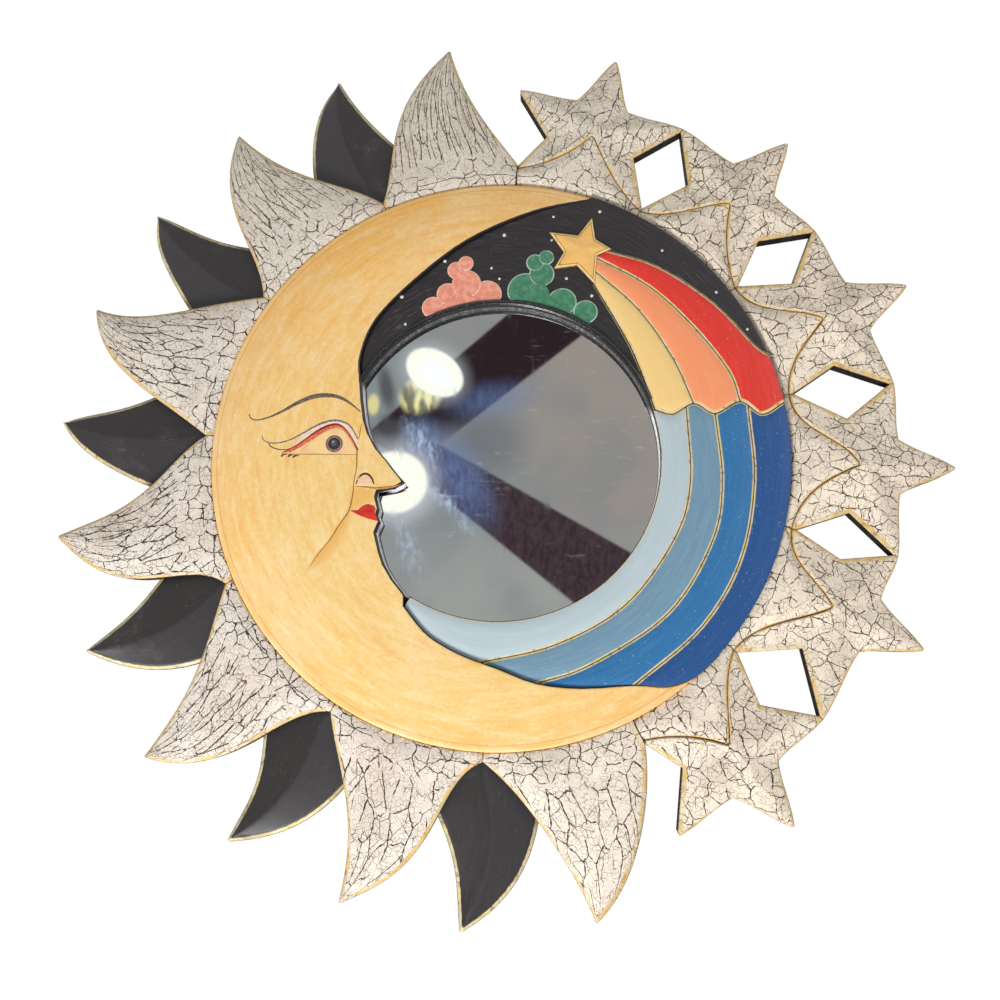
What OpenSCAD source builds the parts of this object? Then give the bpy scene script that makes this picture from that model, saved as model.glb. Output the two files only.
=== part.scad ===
// Painted wooden wall mirror: a moon disc with a ring of sun rays and stars.
// The mirror hangs on a wall at y = 0 and faces -Y. The origin is the disc's centre on the wall.
// Each piece is drawn flat, with x to the right, y up and z away from the wall, and then stood up.

/* [Moon disc] */
// Radius of the round board with the moon
disc_r = 196; // [180:1:210]
// Thickness of the board at its rim
disc_edge_t = 15; // [13:0.5:18]
// Height of the moon above the rim
moon_rise = 4; // [3:0.5:6]
// Depth of the rainbow below the moon
rainbow_drop = 2; // [1.5:0.25:2.5]
// Depth of the night sky below the moon
sky_drop = 3.5; // [3:0.25:4.5]
// Radius of the opening over the glass
opening_r = 109; // [104:1:112]
// Height of the shooting star above the sky
comet_rise = 3; // [1.5:0.5:4]
// Radius of the round bead over the glass
bead_r = 1.8; // [1.2:0.1:2.4]

/* [Glass and back] */
// Radius of the mirror glass
glass_r = 118; // [115:1:120]
// Thickness of the mirror glass
glass_t = 3; // [2:0.5:4]
// Thickness of the wood in front of the glass, under the night sky
lip_t = 8.5; // [7:0.5:9.5]
// How far the plywood back reaches past the glass
panel_lap = 14; // [11:0.5:16]
// Thickness of the plywood back, which holds the rest off the wall
panel_t = 4; // [4:0.5:6]
// Number of screws round the back
panel_screws_n = 8; // [6:1:12]
// Distance from the edge of the plywood in to its screws
panel_screws_in = 6; // [5:0.5:7]

/* [Ray joints] */
// Width of the band of ray wood round the disc
rim_w = 6; // [4:0.5:9]
// Length of the tongues under the disc
lap_len = 24; // [16:1:28]
// Thickness of the tongues and of the dark rays
lap_t = 8; // [6:0.5:9]
// Gap round each fitted piece
fit = 0.2; // [0.1:0.05:0.4]

/* [Sun rays] */
// Length of a sun ray beyond the band
sun_len = 103; // [80:1:120]
// Thickness of a sun ray at its edges
ray_edge_t = 11; // [10:0.5:13]
// Thickness of a sun ray along its middle
ray_crown_t = 16; // [14:0.5:18]

/* [Dark rays] */
// Length of a dark ray beyond the band
dark_len = 106; // [85:1:120]
// Thickness of a dark ray at its edges
dark_edge_t = 5; // [3:0.5:5.5]

/* [Stars] */
// Distance from the band to the middle of a star
star_out = 43; // [40:0.5:46]
// Distance from a star's middle to its outer tip
star_tip = 59.5; // [52:0.5:66]
// Distance from the band to the tips that two stars share
star_shared = 69; // [66:0.5:72]
// Thickness of a star at its edges
star_edge_t = 11; // [9:0.5:13]
// Thickness of a star at its middle
star_crown_t = 16; // [14:0.5:18]
// Distance from a star's middle to the end of the short ray in it
seam_gap = 5; // [3:0.5:7]

/* [Hanger] */
// Height of the hanger's pivot above the middle of a disc of the drawn radius
hanger_h = 165; // [160:1:168]
// Thickness of the ring's wire
ring_wire_d = 2.2; // [1.8:0.1:2.2]
// Half of the width of the ring, to the middle of its wire
ring_half_w = 11; // [10:0.5:13]
// Length of the ring's straight legs
ring_leg = 14; // [12:0.5:18]
// Thickness of the strap
strap_t = 0.8; // [0.6:0.1:0.8]
// Width of the strap
strap_w = 13; // [11:0.5:14]
// Length of the strap below the pivot
strap_len = 13; // [12:0.5:14]

/* [Screws] */
// Radius of the thread of every screw
screw_r = 1.5; // [1:0.1:1.8]
// Radius of the heads of every screw
screw_head_r = 3; // [2.5:0.1:3.4]
// Length of the screws in the back
panel_screw_len = 14; // [10:1:15]
// Length of the screw in the hanger
hanger_screw_len = 11; // [8:1:12]

/* [Hidden] */
$fn = 96;

// Heights above the wall
back_z = panel_t;
lap_z = back_z + lap_t;
rim_z = back_z + disc_edge_t;
moon_z = rim_z + moon_rise;
rainbow_z = moon_z - rainbow_drop;
sky_z = moon_z - sky_drop;
seat_z = sky_z - lip_t;
glass_z = seat_z - glass_t;
groove_depth = 0.8;
groove_w = 1.6;

// Radii of the joints between the disc and its rays
lap_r = disc_r - lap_len;
band_r = disc_r + rim_w;
tongue_side = 0.4; // angle left free on each side of a tongue
tongue_root = 3; // length of a tongue inside its ray

// The opening and the glass lie a little off the disc's centre
opening_at = [1, -3];
panel_r = glass_r + panel_lap;
panel_screws_r = panel_r - panel_screws_in;

// Carved lines of the disc, drawn for a disc of this radius
drawn_r = 196;
drawn = disc_r / drawn_r;
horn = [[66, 182], [26, 173], [-20, 152], [-57, 123], [-83, 95], [-93, 70], [-93, 52]];
face = [
    [-93, 52], [-92, 39], [-90, 25], [-87, 15], [-81, 4], [-74, -4], [-68, -12], [-62, -19],
    [-69, -23], [-80, -25], [-81, -29], [-79, -37], [-80, -41], [-78, -46], [-81, -53],
    [-78, -65], [-75, -74], [-69, -84], [-61, -94]
];
lower_edge = [
    [-61, -102], [-48, -118], [-36, -127], [-20, -135], [2, -143], [26, -152],
    [55, -155], [89, -153], [110, -154], [128, -148], [144, -134]
];
tail_inner = [[107, 29], [103, 42], [91, 75], [72, 118]];
tail_outer = [[79, 142], [112, 131], [149, 104], [175, 74], [185, 66]];
tail_seams = [
    [[72, 128], [97, 101], [120, 65], [133, 33]],
    [[72, 138], [105, 117], [134, 88], [157, 56], [164, 34]]
];
scallops = [[103, 28], [119, 26], [133, 33], [147, 26], [164, 34], [178, 25], [192, 33]];
band_seams = [
    [[128, 25], [129, -20], [118, -57], [85, -101], [39, -127], [-5, -136]],
    [[147, 26], [150, -20], [142, -60], [112, -107], [61, -140], [26, -152]],
    [[169, 28], [171, -20], [160, -72], [133, -116], [89, -153]]
];
comet = [
    [67, 168], [57, 155], [37, 158], [47, 143], [40, 131],
    [56, 133], [68, 119], [70, 140], [82, 145], [69, 152]
];
bead_from = 21;
bead_to = 156;
// Where the fields meet the disc's edge and the opening, as angles
horn_at = 70;
tail_end_at = 20;
blue_end_at = -43;
brow_at = 149;
tail_at = 17;
beyond_face = 150; // from the middle to well behind the face, on the left
beyond_rim = 4; // the fields are cut past the disc's edge

// Angles on the disc, counted from the right and turning left
sun_at = [96.6, 128.2, 159.2, 190.2, 220.9, 251, 281.9];
dark_at = [112.4, 143.7, 174.8, 205.2, 235.3, 265.7];
star_at = [73.5, 47.4, 22.5, -2.2, -25.4, -52.1];
shared_at = [86.4, 60.8, 35.5, 10, -14.9, -39.8, -64.8];
// Where neighbouring rays meet the band
sun_cusps = [86, 113.8, 144.9, 175.4, 205.3, 237.4, 267.5, 296.6];
star_cusps = [86, 60, 35.3, 11.5, -14.7, -40.2, -63.4];
end_step = 11; // extra radius of the band beside the first and last star

// How far each side of a ray bows to the left: near the band, half way and near the tip
sun_left = [[2, 24, 14], [-4, 18, 17], [5, 13, 23], [-12, 31, 16], [-10, 18, 17], [-14, 26, 12], [12, 13, 16]];
sun_right = [[3, 8, 6], [-3, 11, 9], [1, 6, 14], [-3, 22, 5], [3, 13, 7], [1, 14, 9], [9, 7, 8]];
dark_left = [[25, 16, 27], [29, 5, 25], [22, 9, 20], [16, 24, 17], [9, 25, 17], [14, 26, 21]];
dark_right = [[-7, 4, 5], [-7, 15, 0], [-20, 12, -5], [-16, 11, 2], [-24, 20, 2], [-15, 17, 2]];
seam_left = [[-5, -6], [-8, 1], [-14, 1], [-15, 5], [-13, 0], [-6, -1]];
seam_right = [[5, 3], [5, 5], [10, 4], [13, 8], [11, 0], [5, 5]];
side_steps = 24;
seam_steps = 8;
dark_half = 11; // half angle of a dark ray at the band
least_crown = 0.2; // rise of a dark ray's middle where it is flattest
tip_w = 1.6; // width of every blunt tip
joint_w = 3; // width of the flats where stars meet
notch_out = 24; // from a star's middle outward to its outer notches
notch_in = 8; // from a star's middle inward to its inner notches
notch_side = [4, 7.8]; // angles from a star's middle to its outer and inner notches

// Shares of a board's crown at places across it
pillow = [[0, 0], [0.1, 0.55], [0.25, 0.85], [0.5, 1], [0.75, 0.85], [0.9, 0.55], [1, 0]];
ridge = [[0, 0], [0.5, 1], [1, 0]];

// Hanger
pivot_gap = 0.05;
ring_r = ring_wire_d / 2;
loop_r = ring_r + pivot_gap + strap_t;
pivot_z = back_z - loop_r;
pivot_y = hanger_h * drawn;
strap_screw_y = pivot_y - 8;
ring_space = 2; // kept free round the ring
dome_h = 1.6;
ring_corner = 3;
sink_h = 2.2;
pilot_gap = 0.1;

function polar(r, a) = [r * cos(a), r * sin(a)];
function tail(v) = [for (i = [1:len(v) - 1]) v[i]];
function reversed(v) = [for (i = [len(v) - 1:-1:0]) v[i]];
function with_z(v, z) = [for (p = v) [p.x, p.y, z]];

// Points on a smooth line through the given ones
function spline(v, n) = [
    for (i = [0:len(v) - 2])
        let (
            b = v[i],
            c = v[i + 1],
            a = i > 0 ? v[i - 1] : 2 * b - c,
            d = i < len(v) - 2 ? v[i + 2] : 2 * c - b
        )
        for (k = [0:n - 1])
            let (t = k / n)
            ((2 * b) + (c - a) * t + (2 * a - 5 * b + 4 * c - d) * t * t + (3 * b - a - 3 * c + d) * t * t * t) / 2,
    v[len(v) - 1]
];

// Points from p to q on a side that bows to its left
function bowed(p, q, bows, n) =
    let (
        d = q - p,
        left = [-d.y, d.x] / norm(d),
        k = len(bows)
    )
    [
        for (i = [0:n])
            let (t = i / n, s = 1 - t)
            p + d * t + left * (k == 3
                ? 4 * bows[0] * t * s ^ 3 + 6 * bows[1] * t * t * s * s + 4 * bows[2] * t ^ 3 * s
                : 3 * bows[0] * t * s * s + 3 * bows[1] * t * t * s)
    ];

// A closed outline of even width along a line
function strip(v, w) =
    let (
        last = len(v) - 1,
        across = [
            for (i = [0:last])
                let (d = v[min(i + 1, last)] - v[max(i - 1, 0)])
                [-d.y, d.x] / norm(d) * w / 2
        ]
    )
    concat(
        [for (i = [0:last]) v[i] + across[i]],
        [for (i = [last:-1:0]) v[i] - across[i]]
    );

function arc(c, r, from, to, n) = [for (i = [0:n]) c + polar(r, from + (to - from) * i / n)];

// The two points of a blunt tip at the end of a ray that starts at the disc
function tip_side(r, a, side) = polar(r, a) + side * tip_w / 2 * [-sin(a), cos(a)];

// A board with a flat back and a crowned front, between a left and a right side that run outwards
module crowned_board(left, right, edge_z, crown_z, profile) {
    n = len(left) - 1;
    m = len(profile) - 1;
    front = [
        for (i = [0:n])
            for (p = profile)
                let (at = left[i] + (right[i] - left[i]) * p[0])
                [at.x, at.y, edge_z[i] + (crown_z[i] - edge_z[i]) * p[1]]
    ];
    left_at = len(front);
    right_at = left_at + n + 1;
    row = m + 1;
    polyhedron(
        points = concat(front, with_z(left, back_z), with_z(right, back_z)),
        faces = concat(
            [for (i = [0:n - 1]) for (j = [0:m - 1]) [i * row + j, (i + 1) * row + j, (i + 1) * row + j + 1]],
            [for (i = [0:n - 1]) for (j = [0:m - 1]) [i * row + j, (i + 1) * row + j + 1, i * row + j + 1]],
            [for (i = [0:n - 1]) [left_at + i, right_at + i, right_at + i + 1, left_at + i + 1]],
            [for (i = [0:n - 1]) [(i + 1) * row, i * row, left_at + i, left_at + i + 1]],
            [for (i = [0:n - 1]) [i * row + m, (i + 1) * row + m, right_at + i + 1, right_at + i]],
            [concat([for (j = [0:m]) j], [right_at, left_at])],
            [concat([for (j = [m:-1:0]) n * row + j], [left_at + n, right_at + n])]
        ),
        convexity = 4
    );
}

// Stands a flat drawing up against the wall
module hung() {
    rotate([90, 0, 0]) children();
}

// The hole for the hanger's screw
module hanger_pilot() {
    translate([0, strap_screw_y, 0]) cylinder(r = screw_r + pilot_gap, h = back_z + hanger_screw_len);
}

// A tongue under the disc, between two angles
module tongue(from, to) {
    difference() {
        rotate([0, 0, from + tongue_side])
            rotate_extrude(angle = to - from - 2 * tongue_side)
                translate([lap_r + fit, back_z])
                    square([lap_len + tongue_root - fit, lap_t]);
        hanger_pilot();
    }
}

// The space of the disc, which every ray leaves free
module disc_space() {
    cylinder(r = disc_r + fit, h = 2 * moon_z);
}

function dark_sides(i, side) =
    let (
        a = sun_cusps[i + 1] + side * dark_half,
        tip = tip_side(band_r + dark_len, dark_at[i], side),
        bows = side > 0 ? dark_left[i] : dark_right[i]
    )
    concat([polar((lap_r + fit) / cos(dark_half), a)], bowed(polar(band_r, a), tip, bows, side_steps));

// The rear pocket in which a dark ray lies
module dark_pocket(i) {
    outline = concat(dark_sides(i, 1), reversed(dark_sides(i, -1)));
    translate([0, 0, -1]) linear_extrude(lap_z + 1) polygon(outline);
}

module dark_ray(i) {
    edges = [for (k = [-1:side_steps]) back_z + (k < 1 ? lap_t - least_crown : dark_edge_t)];
    crowns = [for (k = [-1:side_steps]) back_z + (k < side_steps ? lap_t : dark_edge_t + least_crown)];
    color([0.17, 0.16, 0.16])
        hung() crowned_board(dark_sides(i, 1), dark_sides(i, -1), edges, crowns, ridge);
}

function board_start(a) = polar(lap_r + lap_len / 2, a);

module sun_ray(i) {
    last = len(sun_at) - 1;
    right_r = band_r + (i == 0 ? end_step : 0);
    left_r = band_r + (i == last ? end_step : 0);
    tip_r = band_r + sun_len;
    left = concat(
        [board_start(sun_cusps[i + 1])],
        bowed(polar(left_r, sun_cusps[i + 1]), tip_side(tip_r, sun_at[i], 1), sun_left[i], side_steps)
    );
    right = concat(
        [board_start(sun_cusps[i])],
        bowed(polar(right_r, sun_cusps[i]), tip_side(tip_r, sun_at[i], -1), sun_right[i], side_steps)
    );
    edges = [for (k = [-1:side_steps]) back_z + ray_edge_t];
    crowns = [
        for (k = [-1:side_steps])
            back_z + ray_edge_t + (ray_crown_t - ray_edge_t) * (1 - (max(k, 0) / side_steps) ^ 3 * 0.9)
    ];
    color([0.84, 0.80, 0.74])
        hung() {
            difference() {
                crowned_board(left, right, edges, crowns, pillow);
                disc_space();
                if (i > 0) dark_pocket(i - 1);
                if (i < last) dark_pocket(i);
            }
            tongue(
                sun_cusps[i] + (i > 0 ? dark_half : 0),
                sun_cusps[i + 1] - (i < last ? dark_half : 0)
            );
        }
}

// Radius at which the flats beside a star's cusp end
function cusp_r(i) = band_r + (i == 0 || i == len(star_at) ? end_step : joint_w);

// One side of a short ray, from the band to the middle of its star
function seam(i, side) =
    let (
        cusp = side > 0 ? i : i + 1,
        start = polar(cusp_r(cusp) - joint_w, star_cusps[cusp]),
        end = tip_side(band_r + star_out - seam_gap, star_at[i], side)
    )
    bowed(start, end, side > 0 ? seam_left[i] : seam_right[i], seam_steps);

module short_ray(i) {
    left = concat([board_start(star_cusps[i])], seam(i, 1));
    right = concat([board_start(star_cusps[i + 1])], seam(i, -1));
    rise = star_crown_t - star_edge_t;
    edges = [for (k = [-1:seam_steps]) back_z + star_edge_t - 0.8 + rise * max(k, 0) / seam_steps];
    crowns = [for (k = [-1:seam_steps]) back_z + star_crown_t - 1 + max(k, 0) / seam_steps * 0.5];
    color([0.85, 0.81, 0.75])
        hung() {
            difference() {
                crowned_board(left, right, edges, crowns, pillow);
                disc_space();
            }
            tongue(star_cusps[i + 1], star_cusps[i]);
        }
}

module star(i) {
    middle_r = band_r + star_out;
    shared_r = band_r + star_shared;
    tip_r = middle_r + star_tip;
    // Outline from the outer tip, turning left
    outline = concat(
        [
            tip_side(tip_r, star_at[i], -1),
            tip_side(tip_r, star_at[i], 1),
            polar(middle_r + notch_out, star_at[i] + notch_side[0]),
            polar(shared_r + joint_w / 2, shared_at[i]),
            polar(shared_r - joint_w / 2, shared_at[i]),
            polar(middle_r - notch_in, star_at[i] + notch_side[1]),
            polar(cusp_r(i), star_cusps[i])
        ],
        seam(i, 1),
        reversed(seam(i, -1)),
        [
            polar(cusp_r(i + 1), star_cusps[i + 1]),
            polar(middle_r - notch_in, star_at[i] - notch_side[1]),
            polar(shared_r - joint_w / 2, shared_at[i + 1]),
            polar(shared_r + joint_w / 2, shared_at[i + 1]),
            polar(middle_r + notch_out, star_at[i] - notch_side[0])
        ]
    );
    left_notch = 5;
    seam_at = 7;
    right_notch = seam_at + 2 * seam_steps + 3;
    n = len(outline);
    rise = star_crown_t - star_edge_t;
    heights = [
        for (k = [0:n - 1])
            let (
                up = k - seam_at,
                down = right_notch - 2 - k,
                share = up >= 0 && down >= 0 ? min(up, down, seam_steps) / seam_steps : 0
            )
            back_z + star_edge_t + rise * share
    ];
    front = [for (k = [0:n - 1]) [outline[k].x, outline[k].y, heights[k]]];
    middle = polar(middle_r, star_at[i]);
    hub = 2 * n;
    seam_end = seam_at + seam_steps;
    facets = concat(
        [for (k = [0:left_notch - 1]) [hub, k + 1, k]],
        [for (k = [left_notch + 1:seam_end - 1]) [left_notch, k + 1, k]],
        [[hub, seam_end, left_notch], [hub, seam_end + 1, seam_end], [hub, right_notch, seam_end + 1]],
        [for (k = [seam_end + 1:right_notch - 2]) [right_notch, k + 1, k]],
        [for (k = [right_notch:n - 1]) [hub, (k + 1) % n, k]]
    );
    color([0.86, 0.82, 0.76])
        hung() polyhedron(
            points = concat(
                front,
                with_z(outline, back_z),
                with_z([middle, middle], back_z) + [[0, 0, star_crown_t], [0, 0, 0]]
            ),
            faces = concat(
                facets,
                // The back has the same triangles, the other way round
                [for (f = facets) [for (k = reversed(f)) k == hub ? hub + 1 : k + n]],
                [for (k = [0:n - 1]) [k, (k + 1) % n, n + (k + 1) % n, n + k]]
            ),
            convexity = 4
        );
}

// Front of the round board before it is carved, from the rim inwards
module disc_blank() {
    edge_round = 2.5;
    dome_w = 44;
    dome_steps = 8;
    rotate_extrude()
        polygon(concat(
            [[0, back_z], [lap_r, back_z], [lap_r, lap_z], [disc_r, lap_z], [disc_r, rim_z - edge_round]],
            [for (a = [22.5:22.5:67.5]) [disc_r - edge_round * (1 - cos(a)), rim_z - edge_round * (1 - sin(a))]],
            [for (k = [0:dome_steps]) [disc_r - edge_round - dome_w * k / dome_steps, rim_z + moon_rise * sin(90 * k / dome_steps)]],
            [[0, moon_z]]
        ));
}

// Everything that lies below the moon: its sky and its rainbow
module below_moon() {
    points = concat(
        spline(horn, 4),
        tail(face),
        spline(lower_edge, 3),
        arc([0, 0], drawn_r + beyond_rim, blue_end_at, horn_at, 24)
    ) * drawn;
    translate([0, 0, rainbow_z]) linear_extrude(moon_z) polygon(points);
}

module night_sky() {
    points = concat(
        spline(horn, 4),
        arc(opening_at, opening_r - 2, brow_at, tail_at, 24),
        spline(tail_inner, 3),
        spline(tail_outer, 4),
        arc([0, 0], drawn_r + beyond_rim, tail_end_at, horn_at, 12)
    );
    translate([0, 0, sky_z]) linear_extrude(moon_z) polygon(points * drawn);
}

module grooves() {
    translate([0, 0, rainbow_z - groove_depth])
        linear_extrude(moon_z) {
            for (line = concat(tail_seams, band_seams)) polygon(strip(spline(line, 4), groove_w) * drawn);
            polygon(strip(spline(scallops, 4), groove_w) * drawn);
        }
}

// The part of the opening that the face doesn't cover
module opening() {
    difference() {
        translate([opening_at.x, opening_at.y, -1]) cylinder(r = opening_r, h = 2 * moon_z);
        translate([0, 0, -2])
            linear_extrude(3 * moon_z)
                polygon(concat(face, [[-beyond_face, face[len(face) - 1].y], [-beyond_face, face[0].y]]) * drawn);
    }
}

module panel_screw_places() {
    translate(opening_at)
        for (k = [0:panel_screws_n - 1])
            rotate([0, 0, 360 * (k + 0.5) / panel_screws_n]) translate([panel_screws_r, 0, 0]) children();
}

module moon_disc() {
    color([0.95, 0.78, 0.46])
        hung() {
            difference() {
                disc_blank();
                below_moon();
                night_sky();
                grooves();
                opening();
                translate([opening_at.x, opening_at.y, -1]) cylinder(r = glass_r + fit, h = seat_z + 1);
                panel_screw_places() cylinder(r = screw_r + pilot_gap, h = panel_screw_len + 0.5);
                hanger_pilot();
            }
            translate([0, 0, sky_z - 1]) linear_extrude(comet_rise + 1) polygon(comet * drawn);
            translate([opening_at.x, opening_at.y, sky_z])
                rotate([0, 0, bead_from])
                    rotate_extrude(angle = bead_to - bead_from)
                        translate([opening_r + bead_r - 0.6, 0]) circle(r = bead_r, $fn = 32);
        }
}

module mirror_glass() {
    color([0.62, 0.66, 0.68])
        hung() translate([opening_at.x, opening_at.y, glass_z]) cylinder(r = glass_r, h = glass_t);
}

// Fills the recess between the glass and the plywood back
module backing_board() {
    color([0.60, 0.48, 0.34])
        hung() translate([opening_at.x, opening_at.y, back_z]) cylinder(r = glass_r, h = glass_z - back_z);
}

// The space in which the ring hangs down
module ring_room() {
    w = ring_half_w + ring_r + ring_space;
    translate([0, pivot_y - ring_leg, -1]) {
        cylinder(r = w, h = panel_t + 2);
        translate([-w, 0, 0]) cube([2 * w, ring_leg, panel_t + 2]);
    }
}

module back_panel() {
    color([0.72, 0.58, 0.40])
        hung() difference() {
            translate([opening_at.x, opening_at.y, 0]) cylinder(r = panel_r, h = panel_t);
            panel_screw_places() {
                translate([0, 0, -1]) cylinder(r = screw_r + fit, h = panel_t + 2);
                translate([0, 0, -0.01])
                    cylinder(r1 = screw_head_r + 2 * fit, r2 = screw_r + fit, h = sink_h);
            }
            ring_room();
        }
}

module panel_screws() {
    color("silver")
        hung() panel_screw_places() {
            translate([0, 0, fit]) cylinder(r1 = screw_head_r, r2 = screw_r, h = sink_h - fit);
            translate([0, 0, 1]) cylinder(r = screw_r, h = panel_screw_len - 1);
        }
}

module hanger_strap() {
    color([0.75, 0.73, 0.68])
        hung() difference() {
            union() {
                translate([-strap_w / 2, pivot_y - strap_len, back_z - strap_t]) cube([strap_w, strap_len, strap_t]);
                translate([-strap_w / 2, pivot_y, pivot_z]) rotate([0, 90, 0]) cylinder(r = loop_r, h = strap_w);
            }
            translate([-strap_w / 2 - 1, pivot_y, pivot_z])
                rotate([0, 90, 0]) cylinder(r = ring_r + pivot_gap, h = strap_w + 2);
            translate([0, strap_screw_y, 0]) cylinder(r = screw_r + pilot_gap, h = back_z + 1);
        }
}

// A quarter or half turn of the ring's wire
module wire_bend(r, from, turn) {
    rotate([0, 0, from]) rotate_extrude(angle = turn) translate([r, 0]) circle(r = ring_r, $fn = 48);
}

module hanger_ring() {
    straight = ring_half_w - ring_corner;
    color([0.80, 0.78, 0.72])
        hung() translate([0, pivot_y, pivot_z]) {
            translate([-straight, 0, 0]) rotate([0, 90, 0]) cylinder(r = ring_r, h = 2 * straight, $fn = 48);
            translate([straight, -ring_corner, 0]) wire_bend(ring_corner, 0, 90);
            translate([-straight, -ring_corner, 0]) wire_bend(ring_corner, 90, 90);
            for (side = [-1, 1])
                translate([side * ring_half_w, -ring_corner, 0])
                    rotate([90, 0, 0]) cylinder(r = ring_r, h = ring_leg - ring_corner, $fn = 48);
            translate([0, -ring_leg, 0]) wire_bend(ring_half_w, 180, 180);
        }
}

module hanger_screw() {
    color("silver")
        hung() translate([0, strap_screw_y, 0]) {
            translate([0, 0, back_z - strap_t - dome_h])
                cylinder(r1 = screw_head_r * 0.7, r2 = screw_head_r, h = dome_h);
            translate([0, 0, back_z - strap_t - 0.1]) cylinder(r = screw_r, h = hanger_screw_len + strap_t - 0.4);
        }
}

moon_disc();
mirror_glass();
backing_board();
back_panel();
panel_screws();
for (i = [0:len(sun_at) - 1])
    sun_ray(i);
for (i = [0:len(dark_at) - 1])
    dark_ray(i);
for (i = [0:len(star_at) - 1])
    short_ray(i);
for (i = [0:len(star_at) - 1])
    star(i);
hanger_strap();
hanger_ring();
hanger_screw();
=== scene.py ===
import math

import bpy
import numpy as np
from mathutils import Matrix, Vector, noise
from mathutils.geometry import delaunay_2d_cdt


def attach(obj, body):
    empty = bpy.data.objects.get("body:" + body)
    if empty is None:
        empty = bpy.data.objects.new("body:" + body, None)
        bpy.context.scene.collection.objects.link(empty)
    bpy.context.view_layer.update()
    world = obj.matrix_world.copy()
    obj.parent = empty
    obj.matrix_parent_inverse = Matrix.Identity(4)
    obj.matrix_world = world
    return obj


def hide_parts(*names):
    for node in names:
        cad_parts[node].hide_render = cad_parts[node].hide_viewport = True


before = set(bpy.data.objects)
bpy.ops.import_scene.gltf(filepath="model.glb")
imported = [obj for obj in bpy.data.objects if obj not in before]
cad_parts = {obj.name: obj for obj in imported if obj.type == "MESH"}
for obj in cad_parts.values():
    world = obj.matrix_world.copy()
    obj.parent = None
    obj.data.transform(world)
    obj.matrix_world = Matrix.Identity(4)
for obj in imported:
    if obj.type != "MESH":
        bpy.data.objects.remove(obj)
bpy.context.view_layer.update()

# Sizes in millimetres, drawn flat: x to the right, y up and z away from the wall.
MM = 0.001
back_z = 4.0
lap_z = 12.0
rim_z = 19.0
moon_z = 23.0
rainbow_z = 21.0
sky_z = 19.5
seat_z = 11.0
tile_z = 14.0
disc_r = 196.0
lap_r = 172.0
band_r = 202.0
fit = 0.2
centre = (0.0, 0.0)
opening_at = (1.0, -3.0)
opening_r = 109.0
glass_r = 118.0
screws_n = 8
screws_r = 126.0
screw_r = 1.5
screw_head_r = 3.0
screw_len = 14.0
bead_r = 1.8
bead_from = 21
bead_to = 156
hanger_screw_y = 157.0
hanger_screw_z = 3.2
hanger_screw_len = 11.0

# Carved lines of the disc
horn = [(66, 182), (26, 173), (-20, 152), (-57, 123), (-83, 95), (-93, 70), (-93, 52)]
face = [
    (-93, 52), (-92, 39), (-90, 25), (-87, 15), (-81, 4), (-74, -4), (-68, -12), (-62, -19),
    (-69, -23), (-80, -25), (-81, -29), (-79, -37), (-80, -41), (-78, -46), (-81, -53),
    (-78, -65), (-75, -74), (-69, -84), (-61, -94),
]
lower_edge = [
    (-61, -102), (-48, -118), (-36, -127), (-20, -135), (2, -143), (26, -152),
    (55, -155), (89, -153), (110, -154), (128, -148), (144, -134),
]
tail_inner = [(107, 29), (103, 42), (91, 75), (67.5, 119)]
tail_outer = [(77, 143.5), (112, 131), (149, 104), (175, 74), (185, 66)]
tail_seams = [
    [(67, 130), (97, 101), (120, 65), (133, 33)],
    [(68.5, 139), (105, 117), (134, 88), (157, 56), (164, 34)],
]
scallops = [(107, 29), (119, 26), (133, 33), (147, 26), (164, 34), (178, 25), (193, 33)]
band_seams = [
    [(128, 29), (129, -20), (118, -57), (85, -101), (39, -127), (-12, -139)],
    [(147, 26), (150, -20), (142, -60), (112, -107), (61, -140), (26, -152)],
    [(169, 31), (171, -20), (160, -72), (133, -116), (89, -153)],
]
comet = [
    (67, 168), (57, 155), (37, 158), (47, 143), (40, 131),
    (56, 133), (68, 119), (70, 140), (80, 144.5), (69, 152),
]
comet_middle = (60, 145)

# Angles on the disc, counted from the right and turning left. First, where its carved lines meet the rim
horn_turn = 70.07
tail_turn = 19.63
band_turn = 9.7
chin_turn = -42.94
sun_at = [96.6, 128.2, 159.2, 190.2, 220.9, 251, 281.9]
dark_at = [112.4, 143.7, 174.8, 205.2, 235.3, 265.7]
star_at = [73.5, 47.4, 22.5, -2.2, -25.4, -52.1]
shared_at = [86.4, 60.8, 35.5, 10, -14.9, -39.8, -64.8]
sun_cusps = [86, 113.8, 144.9, 175.4, 205.3, 237.4, 267.5, 296.6]
star_cusps = [86, 60, 35.3, 11.5, -14.7, -40.2, -63.4]
end_step = 11

# How far each side of a ray bows to the left: near the band, half way and near the tip
sun_left = [[2, 24, 14], [-4, 18, 17], [5, 13, 23], [-12, 31, 16], [-10, 18, 17], [-14, 26, 12], [12, 13, 16]]
sun_right = [[3, 8, 6], [-3, 11, 9], [1, 6, 14], [-3, 22, 5], [3, 13, 7], [1, 14, 9], [9, 7, 8]]
dark_left = [[25, 16, 27], [29, 5, 25], [22, 9, 20], [16, 24, 17], [9, 25, 17], [14, 26, 21]]
dark_right = [[-7, 4, 5], [-7, 15, 0], [-20, 12, -5], [-16, 11, 2], [-24, 20, 2], [-15, 17, 2]]
seam_left = [[-5, -6], [-8, 1], [-14, 1], [-15, 5], [-13, 0], [-6, -1]]
seam_right = [[5, 3], [5, 5], [10, 4], [13, 8], [11, 0], [5, 5]]
sun_len = 103.0
dark_len = 106.0
dark_half = 11
tip_w = 1.6
joint_w = 3.0
star_out = 43.0
star_tip = 59.5
star_shared = 69.0
seam_gap = 5.0
notch_out = 24.0
notch_in = 8.0
notch_side = (4, 7.8)
tongue_side = 0.4

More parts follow.
